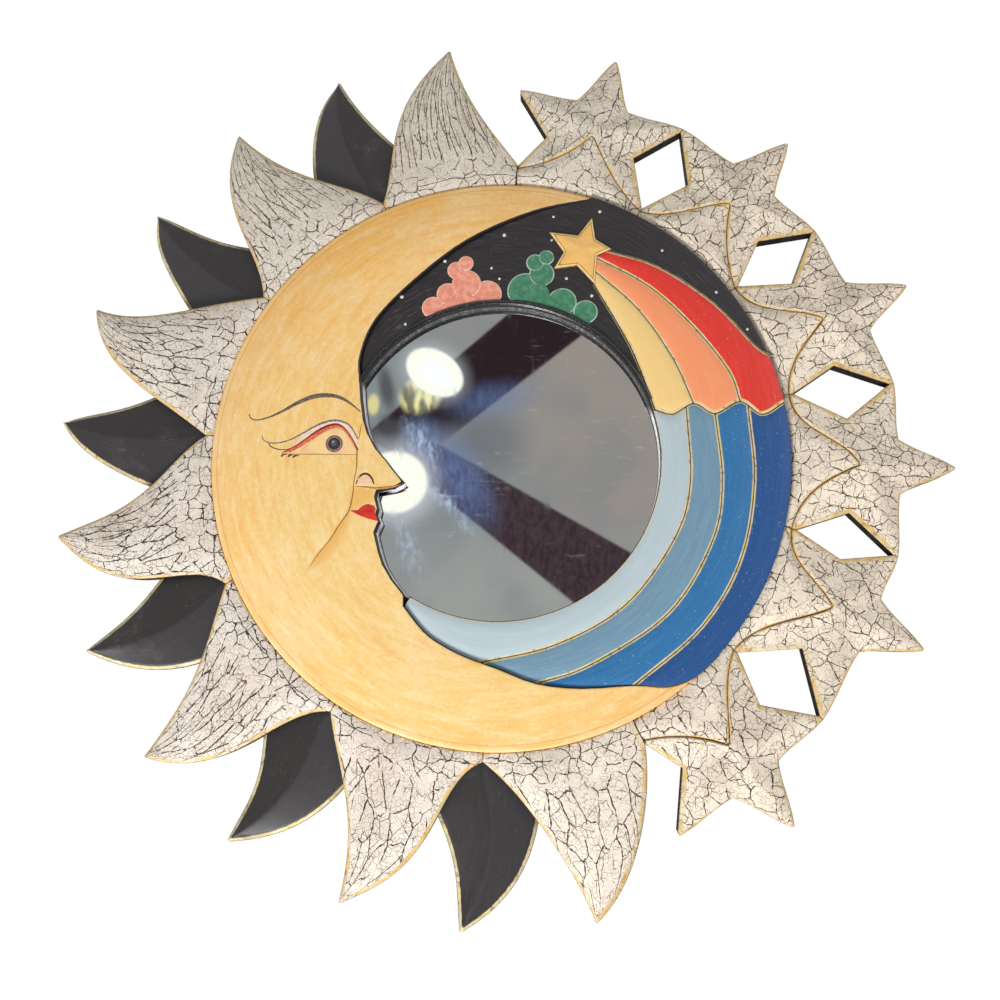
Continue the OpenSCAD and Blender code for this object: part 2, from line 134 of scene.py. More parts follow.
# Heights of the rays
ray_edge = 15.0
dark_edge = 9.0
dark_fall = 1.0
short_edge = 14.2
short_edge_rise = 5.6
short_crown = 18.8
short_crown_rise = 1.8


# Curves


def polar(r, a):
    return np.array([r * math.cos(math.radians(a)), r * math.sin(math.radians(a))])


def spline(points, n):
    """Points on a smooth line through the given ones."""
    v = np.array(points, float)
    v = np.vstack([2 * v[0] - v[1], v, 2 * v[-1] - v[-2]])
    made = []
    for a, b, c, d in zip(v, v[1:], v[2:], v[3:]):
        for k in range(n):
            t = k / n
            made.append((2 * b + (c - a) * t + (2 * a - 5 * b + 4 * c - d) * t ** 2
                         + (3 * b - a - 3 * c + d) * t ** 3) / 2)
    return np.array(made + [v[-2]])


def bowed(p, q, bows, n=40):
    """Points from p to q on a side that bows to its left."""
    d = q - p
    left = np.array([-d[1], d[0]]) / np.linalg.norm(d)
    made = []
    for k in range(n + 1):
        t = k / n
        s = 1 - t
        if len(bows) == 3:
            bow = 4 * bows[0] * t * s ** 3 + 6 * bows[1] * t * t * s * s + 4 * bows[2] * t ** 3 * s
        else:
            bow = 3 * bows[0] * t * s * s + 3 * bows[1] * t * t * s
        made.append(p + d * t + left * bow)
    return np.array(made)


def arc(at, r, start, end, n=0):
    n = n or max(2, int(abs(end - start) * r / 120))
    return np.array([np.array(at) + polar(r, start + (end - start) * k / n) for k in range(n + 1)])


def tip_side(r, a, side):
    return polar(r, a) + side * tip_w / 2 * np.array([-math.sin(math.radians(a)), math.cos(math.radians(a))])


def side_distance(at, a, b):
    """Distance from places to the line from a to b."""
    d = b - a
    t = np.clip((at - a) @ d / (d @ d), 0, 1)
    return np.linalg.norm(at - a - t[:, None] * d, axis=1)


def line_distance(at, line):
    return np.min([side_distance(at, a, b) for a, b in zip(line, line[1:])], axis=0)


def falloff(d, width):
    """0 at an edge, rising to 1 at that width from it."""
    return 1 - (1 - np.clip(d / width, 0, 1)) ** 2


def rough(points, size, seed=0.0):
    """Smooth noise from -1 to 1 at points, with lumps of that size."""
    return np.array([noise.noise(Vector((p[0] / size + seed, p[1] / size, seed))) for p in points])


# Outlines


def crossing(a, b, c, d):
    """Where the line from a to b crosses the one from c to d, if it does."""
    r = (b[0] - a[0], b[1] - a[1])
    s = (d[0] - c[0], d[1] - c[1])
    turn = r[0] * s[1] - r[1] * s[0]
    if abs(turn) < 1e-9:
        return None
    t = ((c[0] - a[0]) * s[1] - (c[1] - a[1]) * s[0]) / turn
    u = ((c[0] - a[0]) * r[1] - (c[1] - a[1]) * r[0]) / turn
    return np.array((a[0] + r[0] * t, a[1] + r[1] * t)) if 0 < t < 1 and 0 < u < 1 else None


class Outline:
    """A closed outline from runs of points, each with the widths of the gold and the dark line along it."""

    def __init__(self, *runs, step=2.5):
        points, widths = [], []
        for run, *width in runs:
            for p in np.array(run, float):
                if points and np.linalg.norm(p - points[-1]) < 0.05:
                    widths[-1] = width
                else:
                    points.append(p)
                    widths.append(width)
        if np.linalg.norm(points[0] - points[-1]) < 0.05:
            points.pop()
            widths.pop()
        x, y = np.array(points).T
        if np.sum(x * np.roll(y, -1) - y * np.roll(x, -1)) < 0:
            points.reverse()
            widths = widths[-2::-1] + widths[-1:]
        # Small loops where two runs cross near their ends are cut off
        for _ in range(len(points)):
            for j in range(2, min(30, len(points) - 2)):
                meet = crossing(*points[:2], *points[j:j + 2])
                if meet is not None:
                    points[1:j + 1] = [meet]
                    widths[1:j + 1] = [widths[j]]
                    break
            points.append(points.pop(0))
            widths.append(widths.pop(0))
        self.points, self.widths = [], []
        for p, q, width in zip(points, points[1:] + points[:1], widths):
            n = max(1, math.ceil(np.linalg.norm(q - p) / step))
            self.points += [p + (q - p) * j / n for j in range(n)]
            self.widths += [width] * n
        self.points = np.array(self.points)
        self.widths = np.array(self.widths, float)

    def distances(self, at):
        """Distance from places to every side of the outline."""
        ends = np.roll(self.points, -1, axis=0)
        return np.stack([side_distance(at, a, b) for a, b in zip(self.points, ends)], axis=1)

    def holds(self, at):
        """Which of the places lie inside."""
        x, y = at.T
        inside = np.zeros(len(at), bool)
        for p, q in zip(self.points, np.roll(self.points, -1, axis=0)):
            if p[1] != q[1]:
                inside ^= ((p[1] > y) != (q[1] > y)) & (x < (q[0] - p[0]) * (y - p[1]) / (q[1] - p[1]) + p[0])
        return inside


def lattice(low, high, spacing):
    rows = np.arange(low[1], high[1] + spacing, spacing * 0.866)
    cols = np.arange(low[0] - spacing, high[0] + spacing, spacing)
    return np.array([(x + (k % 2) * spacing / 2, y) for k, y in enumerate(rows) for x in cols])


def inner_points(outline, spacing, finer):
    """Places for a board's inner vertices: rows beside its outline, and a lattice."""
    a = outline.points
    along = np.roll(a, -1, axis=0) - np.roll(a, 1, axis=0)
    inward = np.stack([-along[:, 1], along[:, 0]], axis=1) / np.linalg.norm(along, axis=1)[:, None]

    def clear(at, least):
        """The places inside that lie more than a distance from the outline."""
        return at[outline.holds(at) & (outline.distances(at).min(axis=1) > least)]

    rows = [k for k in (0.5, 1.1, 1.8, 2.8, 4.2) if k < 1.7 * spacing]
    kept = [clear(a + inward * row, 0.8 * row) for row in rows]
    wide = clear(lattice(a.min(axis=0), a.max(axis=0), spacing), rows[-1] + 0.45 * spacing)
    if finer:
        low, high, size = finer
        wide = wide[np.any((wide < np.array(low)) | (wide > np.array(high)), axis=1)]
        kept += [wide, clear(lattice(low, high, size), rows[-1] + 0.45 * size)]
    else:
        kept.append(wide)
    return np.vstack(kept)


# Meshes


def placed(name, data):
    made = bpy.data.objects.new(name, data)
    bpy.context.scene.collection.objects.link(made)
    return made


def object_from(name, vertices, faces, smooth=True):
    """An object from vertices in millimetres, stood up against the wall."""
    mesh = bpy.data.meshes.new(name)
    mesh.from_pydata([(x * MM, -z * MM, y * MM) for x, y, z in vertices], [], faces)
    mesh.polygons.foreach_set("use_smooth", [smooth] * len(faces))
    mesh.update()
    return placed(name, mesh)


def mark(mesh, title, values):
    """Keeps a number, or three of them, for each vertex."""
    many = np.ndim(values) > 1
    kept = mesh.attributes.new(title, "FLOAT_VECTOR" if many else "FLOAT", "POINT")
    kept.data.foreach_set("vector" if many else "value", np.ravel(values))


def board(name, outline, top, base, paints, spacing=2.5, finer=None, creases=(), grain=None, shades=()):
    """A closed board, painted on its front, sides and back.

    top and base are heights or functions of places and of their distances to the outline. shades are named
    functions of places that the paints read.
    """
    inner = inner_points(outline, spacing, finer)
    places = np.vstack([outline.points, inner, *creases])
    n = len(outline.points)
    edges = [(k, (k + 1) % n) for k in range(n)]
    start = n + len(inner)
    for line in creases:
        edges += [(start + k, start + k + 1) for k in range(len(line) - 1)]
        start += len(line)
    flat, _, triangles, origins, _, _ = delaunay_2d_cdt([Vector(p) for p in places], edges, [], 1, 1e-4)
    places = np.array([tuple(p) for p in flat])
    at_edge = {source: k for k, sources in enumerate(origins) for source in sources if source < n}
    loop = [at_edge[k] for k in range(n)]
    between = outline.distances(places)
    near = between.min(axis=1)
    vertices = [(*p, z) for p, z in zip(places, top(places, near))]
    front = [tuple(t) for t in triangles]
    count = len(vertices)
    if callable(base):
        vertices += [(*p, z) for p, z in zip(places, base(places, near))]
        under = range(count, 2 * count)
        back = [tuple(count + k for k in reversed(t)) for t in front]
    else:
        under = {k: count + j for j, k in enumerate(loop)}
        vertices += [(*places[k], base) for k in loop]
        rim = [Vector(p) for p in outline.points]
        _, _, plain, sources, _, _ = delaunay_2d_cdt(rim, edges[:n], [], 1, 1e-4)
        back = [tuple(count + sources[k][0] for k in reversed(t)) for t in plain]
    walls = [(under[a], under[b], b, a) for a, b in zip(loop, loop[1:] + loop[:1])]
    made = object_from(name, vertices, front + walls + back)
    mesh = made.data
    kinds = [0] * len(front) + [1] * len(walls) + [2] * len(back)
    mesh.polygons.foreach_set("use_smooth", [k == 0 for k in kinds])
    for used in paints:
        mesh.materials.append(used)
    mesh.polygons.foreach_set("material_index", kinds)
    for k, title in enumerate(("gold", "ink")):
        shown = outline.widths[:, k] > 0
        share = np.full(len(vertices), 9.0)
        if shown.any():
            share[:count] = (between[:, shown] / outline.widths[shown, k]).min(axis=1)
        mark(mesh, title, share)
    for title, shade in (("inset", lambda at: near), *shades):
        share = np.zeros(len(vertices))
        share[:count] = shade(places)
        mark(mesh, title, share)
    if grain:
        uv = grain(np.array([v[:2] for v in vertices]))
        corners = np.empty(len(mesh.loops), int)
        mesh.loops.foreach_get("vertex_index", corners)
        mesh.uv_layers.new(name="grain").data.foreach_set("uv", uv[corners].ravel())
    return made


def lay(made, angle, share):
    """Keeps the angle that a board's wood runs at, and a share that sets its tone, for the bare back."""
    mark(made.data, "lie", [[*polar(1, angle), share % 1]] * len(made.data.vertices))
    return made


def along_grain(at, angle, across, along, offset):
    """Grain that runs along an angle, with cells of that width and length."""
    a = polar(1, angle)
    b = np.array([-a[1], a[0]])

    def made(places):
        d = places - np.array(at)
        return np.stack([d @ b / across + offset, d @ a / along + offset * 0.7], axis=1)

    return made


def fan_grain(right, left, across, along, offset):
    """Grain that runs out along a ray and closes in with its two sides."""
    turns = [np.degrees(np.unwrap(np.arctan2(line[:, 1], line[:, 0]))) for line in (right, left)]
    middle = turns[0][0]
    turns[1] += 360 * round((middle - turns[1][0]) / 360)
    reach = [np.linalg.norm(line, axis=1) for line in (right, left)]

    def made(places):
        r = np.linalg.norm(places, axis=1)
        turn = (np.degrees(np.arctan2(places[:, 1], places[:, 0])) - middle + 180) % 360 - 180
        low = np.interp(r, reach[0], turns[0] - middle)
        high = np.interp(r, reach[1], turns[1] - middle)
        half = np.maximum(np.radians(high - low) * r / 2, 1)
        aside = np.radians(turn - (low + high) / 2) * r
        return np.stack([aside * (0.4 + 0.6 * 24 / half) / across + offset, r / along + offset * 0.7], axis=1)

    return made


def round_grain(at, across, along):
    """Grain that runs round a point."""

    def made(places):
        d = places - np.array(at)
        r = np.linalg.norm(d, axis=1)
        turn = np.arctan2(d[:, 1], d[:, 0])
        return np.stack([r / across, turn * 150 / along], axis=1)

    return made


def settle(made, change):
    """Makes what a modifier does a plain mesh, and takes the modifier away."""
    bpy.context.view_layer.update()
    plain = bpy.data.meshes.new_from_object(made.evaluated_get(bpy.context.evaluated_depsgraph_get()))
    made.modifiers.remove(change)
    old = made.data
    made.data = plain
    bpy.data.meshes.remove(old)


def cut(made, cutter):
    """Takes the cutter's solid out of a board."""
    change = made.modifiers.new("cut", "BOOLEAN")
    change.operation = "DIFFERENCE"
    change.solver = "EXACT"
    change.object = cutter
    settle(made, change)


def drop(made):
    mesh = made.data
    bpy.data.objects.remove(made)
    bpy.data.meshes.remove(mesh)


def join(name, parts):
    """One object from several, with their materials."""
    meshes = [part.data for part in parts]
    with bpy.context.temp_override(active_object=parts[0], selected_editable_objects=parts):
        bpy.ops.object.join()
    for mesh in meshes[1:]:
        bpy.data.meshes.remove(mesh)
    parts[0].name = name
    parts[0].data.name = name
    return parts[0]


def fixed(made, node):
    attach(made, "frame")
    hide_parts(node)


# Finishes


def paint(r, g, b):
    """A colour as a painter's chart gives it, from 0 to 255."""
    light = [c / 255 / 12.92 if c < 10.3 else ((c / 255 + 0.055) / 1.055) ** 2.4 for c in (r, g, b)]
    return (*light, 1.0)


def add_node(tree, kind, settings=None, inputs=None):
    """A node with its settings, and with values or links on its inputs."""
    made = tree.nodes.new(kind)
    for key, value in (settings or {}).items():
        setattr(made, key, value)
    for key, value in (inputs or {}).items():
        if isinstance(value, bpy.types.NodeSocket):
            tree.links.new(value, made.inputs[key])
        else:
            made.inputs[key].default_value = value
    return made


class Value:
    """A socket of a finish. Sums on it add Math nodes."""

    def __init__(self, finish, socket):
        self.finish = finish
        self.socket = socket

    def __add__(self, other):
        return self.finish.math("ADD", self, other)

    def __radd__(self, other):
        return self.finish.math("ADD", other, self)

    def __sub__(self, other):
        return self.finish.math("SUBTRACT", self, other)

    def __rsub__(self, other):
        return self.finish.math("SUBTRACT", other, self)

    def __mul__(self, other):
        return self.finish.math("MULTIPLY", self, other)

    def __rmul__(self, other):
        return self.finish.math("MULTIPLY", other, self)

    def __truediv__(self, other):
        return self.finish.math("DIVIDE", self, other)

    def __rtruediv__(self, other):
        return self.finish.math("DIVIDE", other, self)

    def most(self, other):
        return self.finish.math("MAXIMUM", self, other)

    def beside(self, k):
        """Another output of the same node."""
        return Value(self.finish, self.socket.node.outputs[k])


class Finish:
    """A material and the nodes that make it. Colours run from 0 to 255, as a painter's chart gives them."""

    def __init__(self, name):
        self.material = bpy.data.materials.new(name)
        self.material.use_nodes = True
        self.tree = self.material.node_tree
        self.tree.nodes.clear()

    def node(self, kind, settings=None, inputs=None, output=0):
        inputs = {key: getattr(value, "socket", value) for key, value in (inputs or {}).items()}
        made = add_node(self.tree, kind, settings, inputs)
        return Value(self, made.outputs[output]) if made.outputs else None

    def math(self, operation, a, b=0.0):
        return self.node("ShaderNodeMath", {"operation": operation}, {0: a, 1: b})

    def vector(self, operation, a, b=(0, 0, 0), output=0):
        return self.node("ShaderNodeVectorMath", {"operation": operation}, {0: a, 1: b}, output)

    def attribute(self, name):
        return self.node("ShaderNodeAttribute", {"attribute_name": name}, output=2)

    def grain(self):
        return self.node("ShaderNodeUVMap", {"uv_map": "grain"})

    def place(self):
        return self.node("ShaderNodeTexCoord", output=3)

    def axis(self, vector, k):
        return self.node("ShaderNodeSeparateXYZ", {}, {0: vector}, k)

    def flat(self):
        """Millimetres across and up the front."""
        axes = {"X": self.axis(self.place(), 0) * 1000, "Y": self.axis(self.place(), 2) * 1000}
        return self.node("ShaderNodeCombineXYZ", {}, axes)

    def length(self, vector):
        return self.vector("LENGTH", vector, output=1)

    def stretched(self, vector, by):
        return self.vector("MULTIPLY", vector, by)

    def mix(self, share, a, b):
        a, b = [paint(*c) if isinstance(c, tuple) else c for c in (a, b)]
        return self.node("ShaderNodeMix", {"data_type": "RGBA"}, {0: share, 6: a, 7: b}, 2)

    def layers(self, colour, *laid):
        """A colour with others laid over it, each by its share."""
        for share, over in laid:
            colour = self.mix(share, colour, over)
        return colour

    def smooth(self, value, low, high):
        settings = {"interpolation_type": "SMOOTHSTEP"}
        return self.node("ShaderNodeMapRange", settings, {0: value, 1: low, 2: high})

    def noise(self, vector, scale, detail=2.0, roughness=0.5, output=0):
        inputs = {"Vector": vector, "Scale": scale, "Detail": detail, "Roughness": roughness}
        return self.node("ShaderNodeTexNoise", {}, inputs, output)

    def spots(self, low, high, scale, detail=3.0, roughness=0.5, at=None):
        """Patches where noise lies above a level, with soft edges."""
        return self.smooth(self.noise(at or self.place(), scale, detail, roughness), low, high)

    def shaken(self, vector, scale, amount, detail=2.0):
        """A vector moved about by noise."""
        shift = self.vector("SUBTRACT", self.noise(vector, scale, detail, output=1), (0.5, 0.5, 0.5))
        return self.vector("ADD", vector, self.stretched(shift, (amount, amount, amount)))

    def gap(self, vector, finer, cell):
        """Millimetres to the edges between flat cells, which are a cell's size over a factor each way."""
        at = {"Vector": self.stretched(vector, finer), "Scale": 1.0}
        own, other = [
            self.node("ShaderNodeTexVoronoi", {"feature": feature, "voronoi_dimensions": "2D"}, at)
            for feature in ("F1", "F2")
        ]
        apart = self.vector("DIVIDE", self.vector("SUBTRACT", other.beside(2), own.beside(2)), cell)
        return (other * other - own * own) / (self.length(self.stretched(apart, finer)) * 2)

    def bump(self, height, depth):
        """A bump from a height of 0 to 1 that stands for that depth in millimetres."""
        return self.node("ShaderNodeBump", {}, {"Height": height, "Strength": 1.0, "Distance": depth * MM})

    def surface(self, colour, roughness, normal, metallic=0.0, coat=0.0, gloss=0.4):
        return self.done(self.node("ShaderNodeBsdfPrincipled", {}, {
            "Base Color": colour, "Roughness": roughness, "Metallic": metallic, "Normal": normal,
            "Coat Weight": coat, "Coat Roughness": 0.2, "Specular IOR Level": gloss,
        }))

    def done(self, shader):
        self.node("ShaderNodeOutputMaterial", {}, {0: shader})
        return self.material


def edging(f, colour, gold, ink, ragged=0.5, size=260.0, kept=0.6):
    """Paints the gold and the dark line along a board's edges. Returns the colour and the gold's share."""
    wander = (f.noise(f.place(), size, 3.0) - 0.5) * ragged
    line = 1 - f.smooth(f.attribute("ink") + wander, 0.8, 1.1)
    held = kept + (1 - kept) * f.spots(0.4, 0.56, 60.0)
    leaf = (1 - f.smooth(f.attribute("gold") + wander, 0.75, 1.05)) * held * (1 - line)
    tone = f.layers(
        gold[0],
        (f.spots(0.38, 0.62, 150.0, 4.0, 0.6), gold[1]),
        (f.spots(0.56, 0.68, 330.0) * 0.7, gold[2]),
    )
    return f.layers(colour, (leaf, tone), (line, ink)), leaf


# Two tones of the gold, and the brown where it is rubbed
GOLD = ((224, 198, 150), (230, 190, 108), (162, 128, 82))
PALE_GOLD = ((224, 208, 176), (222, 202, 128), (144, 120, 90))
SEAM_BROWN = (138, 114, 72)


def crackle_paint():
    """Cream paint cracked over a dark ground, along the rays further out and every way near the disc."""
    f = Finish("crackle_paint")
    here = f.grain()
    cell = f.attribute("cell").beside(1)
    flat = f.flat()
    bent = f.shaken(f.shaken(here, 4.0, 0.16, 3.0), 0.8, 0.5)
    flat_bent = f.shaken(f.shaken(flat, 0.4, 1.8, 3.0), 0.08, 7.0)
    far = f.length(flat)
    base = 1 - f.smooth(far + f.noise(flat, 0.12, 2.0) * 16, 222, 232)
    upper = f.smooth(f.axis(flat, 1), 40, 260)
    side = f.smooth(f.axis(f.place(), 0), -0.1, 0.22)
    narrow = 1 - upper * (1 - side * 0.8) * 0.28 - (1 - upper) * side * 0.2
    lively = f.spots(0.3, 0.7, 0.35, 2.0, at=flat)

    def cracks(gap, patch, least, most, widest, vary=0.5):
        """Cracks up to a width in millimetres, which are gone in places."""
        width = f.smooth(patch, least, most) * (vary + (1.5 - vary) * lively) * narrow * (widest / 2)
        return 1 - f.smooth(gap / (0.003 + width), 0.6, 1.1)

    def cells(finer):
        return f.gap(flat_bent, (finer, finer, 1.0), (1, 1, 1))

    along = f.noise(here, 0.9, 2.0) - base * 0.3
    aside = f.noise(here, 1.3, 2.0) - base * 0.3
    cross_ones = cracks(f.gap(bent, (1.3, 2.4, 1.0), cell), aside, 0.44, 0.54, 0.5)
    off_ring = f.math("ABSOLUTE", far - 200.5 - f.noise(flat, 0.1, 4.0) * 5)
    wide = cracks(f.gap(bent, (1.0, 1.0, 1.0), cell), along, 0.36, 0.46, 0.8)
    wide = wide.most(cracks(cells(0.11), base * 0.5 + f.noise(flat, 0.07, 3.0), 0.88, 1.0, 0.8))
    wide = wide.most(cracks(off_ring, f.noise(flat, 0.03, 2.0), 0.44, 0.5, 0.7))
    fine = cracks(cells(0.3), f.noise(flat, 0.12, 3.0), 0.42, 0.53, 0.34, 0.8)
    hair = cracks(cells(0.7), f.noise(flat, 0.2, 3.0), 0.36, 0.5, 0.26, 0.9)
    ground = f.layers((50, 42, 36), (upper, (92, 80, 64)), (side * 0.85, (80, 55, 32)))
    colour = f.layers(
        (241, 231, 219),
        # painted shade: the cream is greyer towards the top, where less light falls
        (upper, (234, 225, 209)),
        (side * 0.9, (255, 240, 218)),
        (f.spots(0.4, 0.75, 34.0, 4.0, 0.6) * 0.6, (214, 200, 182)),
        (f.spots(0.5, 0.72, 19.0) * 0.35, (236, 212, 196)),
        (hair * (0.5 - side * 0.14), (168, 153, 134)),
        (fine * 0.65, f.mix(side, (132, 116, 98), (130, 106, 78))),
        (cross_ones * 0.85, ground),
        (wide, ground),
    )
    outer = 1 - f.smooth(f.attribute("inset") + f.noise(f.place(), 300.0, 2.0) * 0.3, 0.25, 0.7)
    colour, leaf = edging(f, colour, GOLD, SEAM_BROWN, 0.6, 260.0, 0.4)
    colour = f.mix(outer * 0.6, colour, (112, 92, 66))
    height = 1 - (wide * 0.9).most(cross_ones * 0.6).most(fine * 0.3)
    height = height * 0.85 + f.noise(f.place(), 900.0, 3.0) * 0.15
    return f.surface(colour, 0.62 - leaf * 0.2, f.bump(height, 0.28))


def dark_paint():
    """Satin black paint, with painted light that makes one facet paler, and worn cream and gold bevels."""
    f = Finish("dark_paint")
    grain = f.stretched(f.grain(), (1.0, 0.12, 1.0))
    streak = f.noise(grain, 5.0, 4.0, 0.6)
    rubbed = f.spots(0.58, 0.72, 44.0) * f.spots(0.5, 0.66, 14.0, 2.0, at=grain)
    colour = f.layers(
        (24, 20, 20),
        (f.smooth(streak, 0.3, 0.75), (44, 38, 38)),
        # painted light: the left facet is paler than the right one, as if it were lit more
        (f.smooth(f.attribute("facet") + (streak - 0.5) * 0.5, 0.1, 0.9) * 0.45, (62, 59, 64)),
        (f.spots(0.63, 0.72, 520.0, 3.0, 0.7) * 0.45, (98, 92, 90)),
        (rubbed * 0.5, (128, 118, 114)),
    )
    colour, _ = edging(f, colour, PALE_GOLD, (46, 34, 26), 0.4, 260.0, 0.7)
    return f.surface(colour, 0.36 + streak * 0.14, f.bump(streak, 0.1), gloss=0.44)


def side_paint():
    """Black brushed down the sides of the boards."""
    f = Finish("side_paint")
    brush = f.noise(f.stretched(f.place(), (1.0, 0.3, 1.0)), 260.0, 4.0)
    colour = f.mix(f.smooth(brush, 0.35, 0.75), (26, 22, 20), (48, 40, 34))
    return f.surface(colour, 0.75, f.bump(brush, 0.15), gloss=0.1)


def opening_side():
    """The walls round the glass: black at the top, and by the glass a painted reflection, pale or, under the
    sky, grey.
    """
    f = Finish("opening_side")
    place = f.place()
    brush = f.noise(place, 140.0, 3.0)
    brushed = f.smooth(brush, 0.35, 0.75)
    x, z = [f.axis(place, k) for k in (0, 2)]
    height = f.axis(place, 1) * -1000 + (brush - 0.5) * 1.5
    out = f.vector("SUBTRACT", place, (opening_at[0] * MM, 0, opening_at[1] * MM))
    at_glass = 1 - f.smooth(f.length(f.stretched(out, (1.0, 0.0, 1.0))), 0.1105, 0.1115)
    below_sky = 1 - f.smooth(z + x * 0.11, 0.036, 0.044)
    colour = f.layers(
        f.mix(brushed, (26, 22, 20), (44, 38, 34)),
        # painted reflection: grey on the deepest part of the wall, by the glass
        (at_glass * (1 - f.smooth(height, 13.6, 15.2)),
         f.mix(f.spots(0.5, 0.66, 500.0), (74, 74, 74), (136, 136, 134))),
        # painted reflection: nearly white on the wall by the glass below the sky, for lit edges seen in the
        # glass
        (at_glass * below_sky * (1 - f.smooth(height, 15.2, 16.6)),
         f.mix(brushed, (252, 250, 254), (226, 224, 232))),
    )
    return f.surface(colour, 0.6, f.bump(brush, 0.1), gloss=0.2)


def bare_back():
    """Stained wood at the back of the boards, with its grain along each board."""
    f = Finish("stained_back")
    lie = f.attribute("lie").beside(1)
    run, rise, share = [f.axis(lie, k) for k in range(3)]
    x, z = [f.axis(f.place(), k) for k in (0, 2)]
    along = {"X": x * run + z * rise + share, "Y": z * run - x * rise + share}
    place = f.stretched(f.node("ShaderNodeCombineXYZ", {}, along), (0.08, 1.0, 1.0))
    ring = f.noise(place, 130.0, 4.0, 0.6)
    pore = f.noise(f.stretched(place, (0.6, 1.0, 1.0)), 900.0, 2.0)
    colour = f.layers(
        (100, 73, 50),
        (f.smooth(ring, 0.3, 0.72), (142, 107, 75)),
        (share * 0.3, (84, 60, 44)),
        (f.smooth(pore, 0.55, 0.75) * 0.6, (58, 42, 30)),
    )
    return f.surface(colour, 0.75, f.bump(pore * 0.5 + ring * 0.5, 0.2))


def moon_paint():
    """Yellow brushed round the moon, with painted shade making it deeper at the top, and deeper at the rim.
    """
    f = Finish("moon_paint")
    grain = f.grain()
    place = f.place()
    stroke = f.noise(grain, 1.0, 4.0, 0.65)
    broad = f.noise(f.stretched(grain, (0.16, 0.5, 1.0)), 1.0, 3.0)
    patch = f.noise(place, 13.0, 3.0, 0.6)
    dabs = f.noise(f.stretched(grain, (0.3, 2.2, 1.0)), 1.0, 4.0, 0.65)
    mottle = f.noise(place, 380.0, 4.0, 0.7)
    far = f.length(place)
    scribed = f.smooth(far, 0.1916, 0.1921) * (1 - f.smooth(far, 0.1925, 0.193))

    def over(value, low, high, share):
        return f.smooth(value, low, high) * share

    def under(value, low, high, share):
        return (1 - f.smooth(value, low, high)) * share

    colour = f.layers(
        (245, 208, 131),
        # painted shade: deeper orange towards the top, where less light falls
        (over(f.axis(place, 2), -0.06, 0.17, 1.0), (255, 199, 104)),
        (over(far, 0.150, 0.194, 0.55), (240, 180, 94)),
        (over(patch, 0.42, 0.7, 0.4), (252, 220, 172)),
        (under(patch, 0.3, 0.46, 0.4), (244, 190, 108)),
        (over(broad, 0.46, 0.68, 0.5), (252, 222, 164)),
        (under(broad, 0.3, 0.46, 0.4), (240, 176, 92)),
        (over(dabs, 0.52, 0.7, 0.35), (255, 232, 196)),
        (under(dabs, 0.3, 0.44, 0.35), (238, 184, 110)),
        (over(stroke, 0.5, 0.78, 0.5), (228, 164, 80)),
        (under(stroke, 0.22, 0.42, 0.36), (255, 236, 196)),
        (over(mottle, 0.5, 0.66, 0.18), (255, 234, 204)),
        (under(mottle, 0.34, 0.48, 0.18), (226, 176, 108)),
        (f.attribute("tan"), (238, 184, 98)),
        (scribed * 0.3, (170, 118, 60)),
    )
    colour, _ = edging(f, colour, PALE_GOLD, (36, 29, 28), 0.35)
    return f.surface(colour, 0.46, f.bump(stroke * 0.5 + mottle * 0.5, 0.2), coat=0.08)


def sky_paint():
    """Near-black paint with rubbed brush marks and specks."""
    f = Finish("sky_paint")
    stroke = f.noise(f.grain(), 1.0, 4.0, 0.7)
    colour = f.layers(
        (38, 34, 36),
        (f.smooth(stroke, 0.35, 0.75), (60, 55, 58)),
        (f.spots(0.52, 0.7, 30.0) * f.smooth(stroke, 0.55, 0.66) * 0.4, (132, 128, 138)),
        (f.spots(0.68, 0.76, 700.0, 2.0) * 0.4, (120, 112, 104)),
    )
    colour, _ = edging(f, colour, PALE_GOLD, (34, 31, 32), 0.3)
    return f.surface(colour, 0.4, f.bump(stroke, 0.08), gloss=0.3)


def bead_paint():
    """Glossy black, with pale scratchy marks round the glass."""
    f = Finish("bead_paint")
    scratch = f.spots(0.58, 0.68, 700.0, 3.0, 0.7, f.shaken(f.place(), 60.0, 0.01))
    colour = f.mix(scratch * f.spots(0.42, 0.6, 40.0, 2.0) * 0.7, (28, 26, 27), (160, 154, 146))
    return f.surface(colour, 0.25 + scratch * 0.3, f.bump(scratch, 0.05), coat=0.3)


def band_paint(name, colour, light, line=PALE_GOLD, scored=0.0):
    """One colour of the rainbow, brushed along it, with a gold line and a dark one at its edges.

    A line may also be scored at a distance from the edge.
    """
    f = Finish(name)
    stroke = f.noise(f.grain(), 1.0, 4.0, 0.65)
    broad = f.noise(f.stretched(f.grain(), (0.2, 0.5, 1.0)), 1.0, 2.0)
    tone = f.layers(
        colour,
        (f.smooth(stroke, 0.42, 0.78) * 0.6, light),
        (f.smooth(broad, 0.45, 0.8) * 0.3, light),
        (f.spots(0.68, 0.75, 800.0, 2.0) * 0.4, (232, 214, 160)),
    )
    tone, _ = edging(f, tone, line, (84, 70, 46), 0.35, 260.0, 0.85)
    if scored:
        off = f.attribute("inset") + (f.noise(f.place(), 200.0, 2.0) - 0.5) * 0.5 - scored
        scratch = f.smooth(off, -0.4, -0.1) * (1 - f.smooth(off, 0.1, 0.4))
        tone = f.mix(scratch * 0.8, tone, (112, 80, 46))
    return f.surface(tone, 0.45, f.bump(stroke, 0.1), gloss=0.3)


def small_paint(name, colour, second, size=520.0, edge=None):
    """A small brushed detail, with an outline in another colour where it has one."""
    f = Finish(name)
    stroke = f.noise(f.place(), size, 3.0)
    tone = f.mix(f.smooth(stroke, 0.4, 0.66), colour, second)
    if edge:
        tone, _ = edging(f, tone, (edge, edge, colour), edge, 0.4, 400.0, 0.8)
    return f.surface(tone, 0.5, f.bump(stroke, 0.05), gloss=0.3)


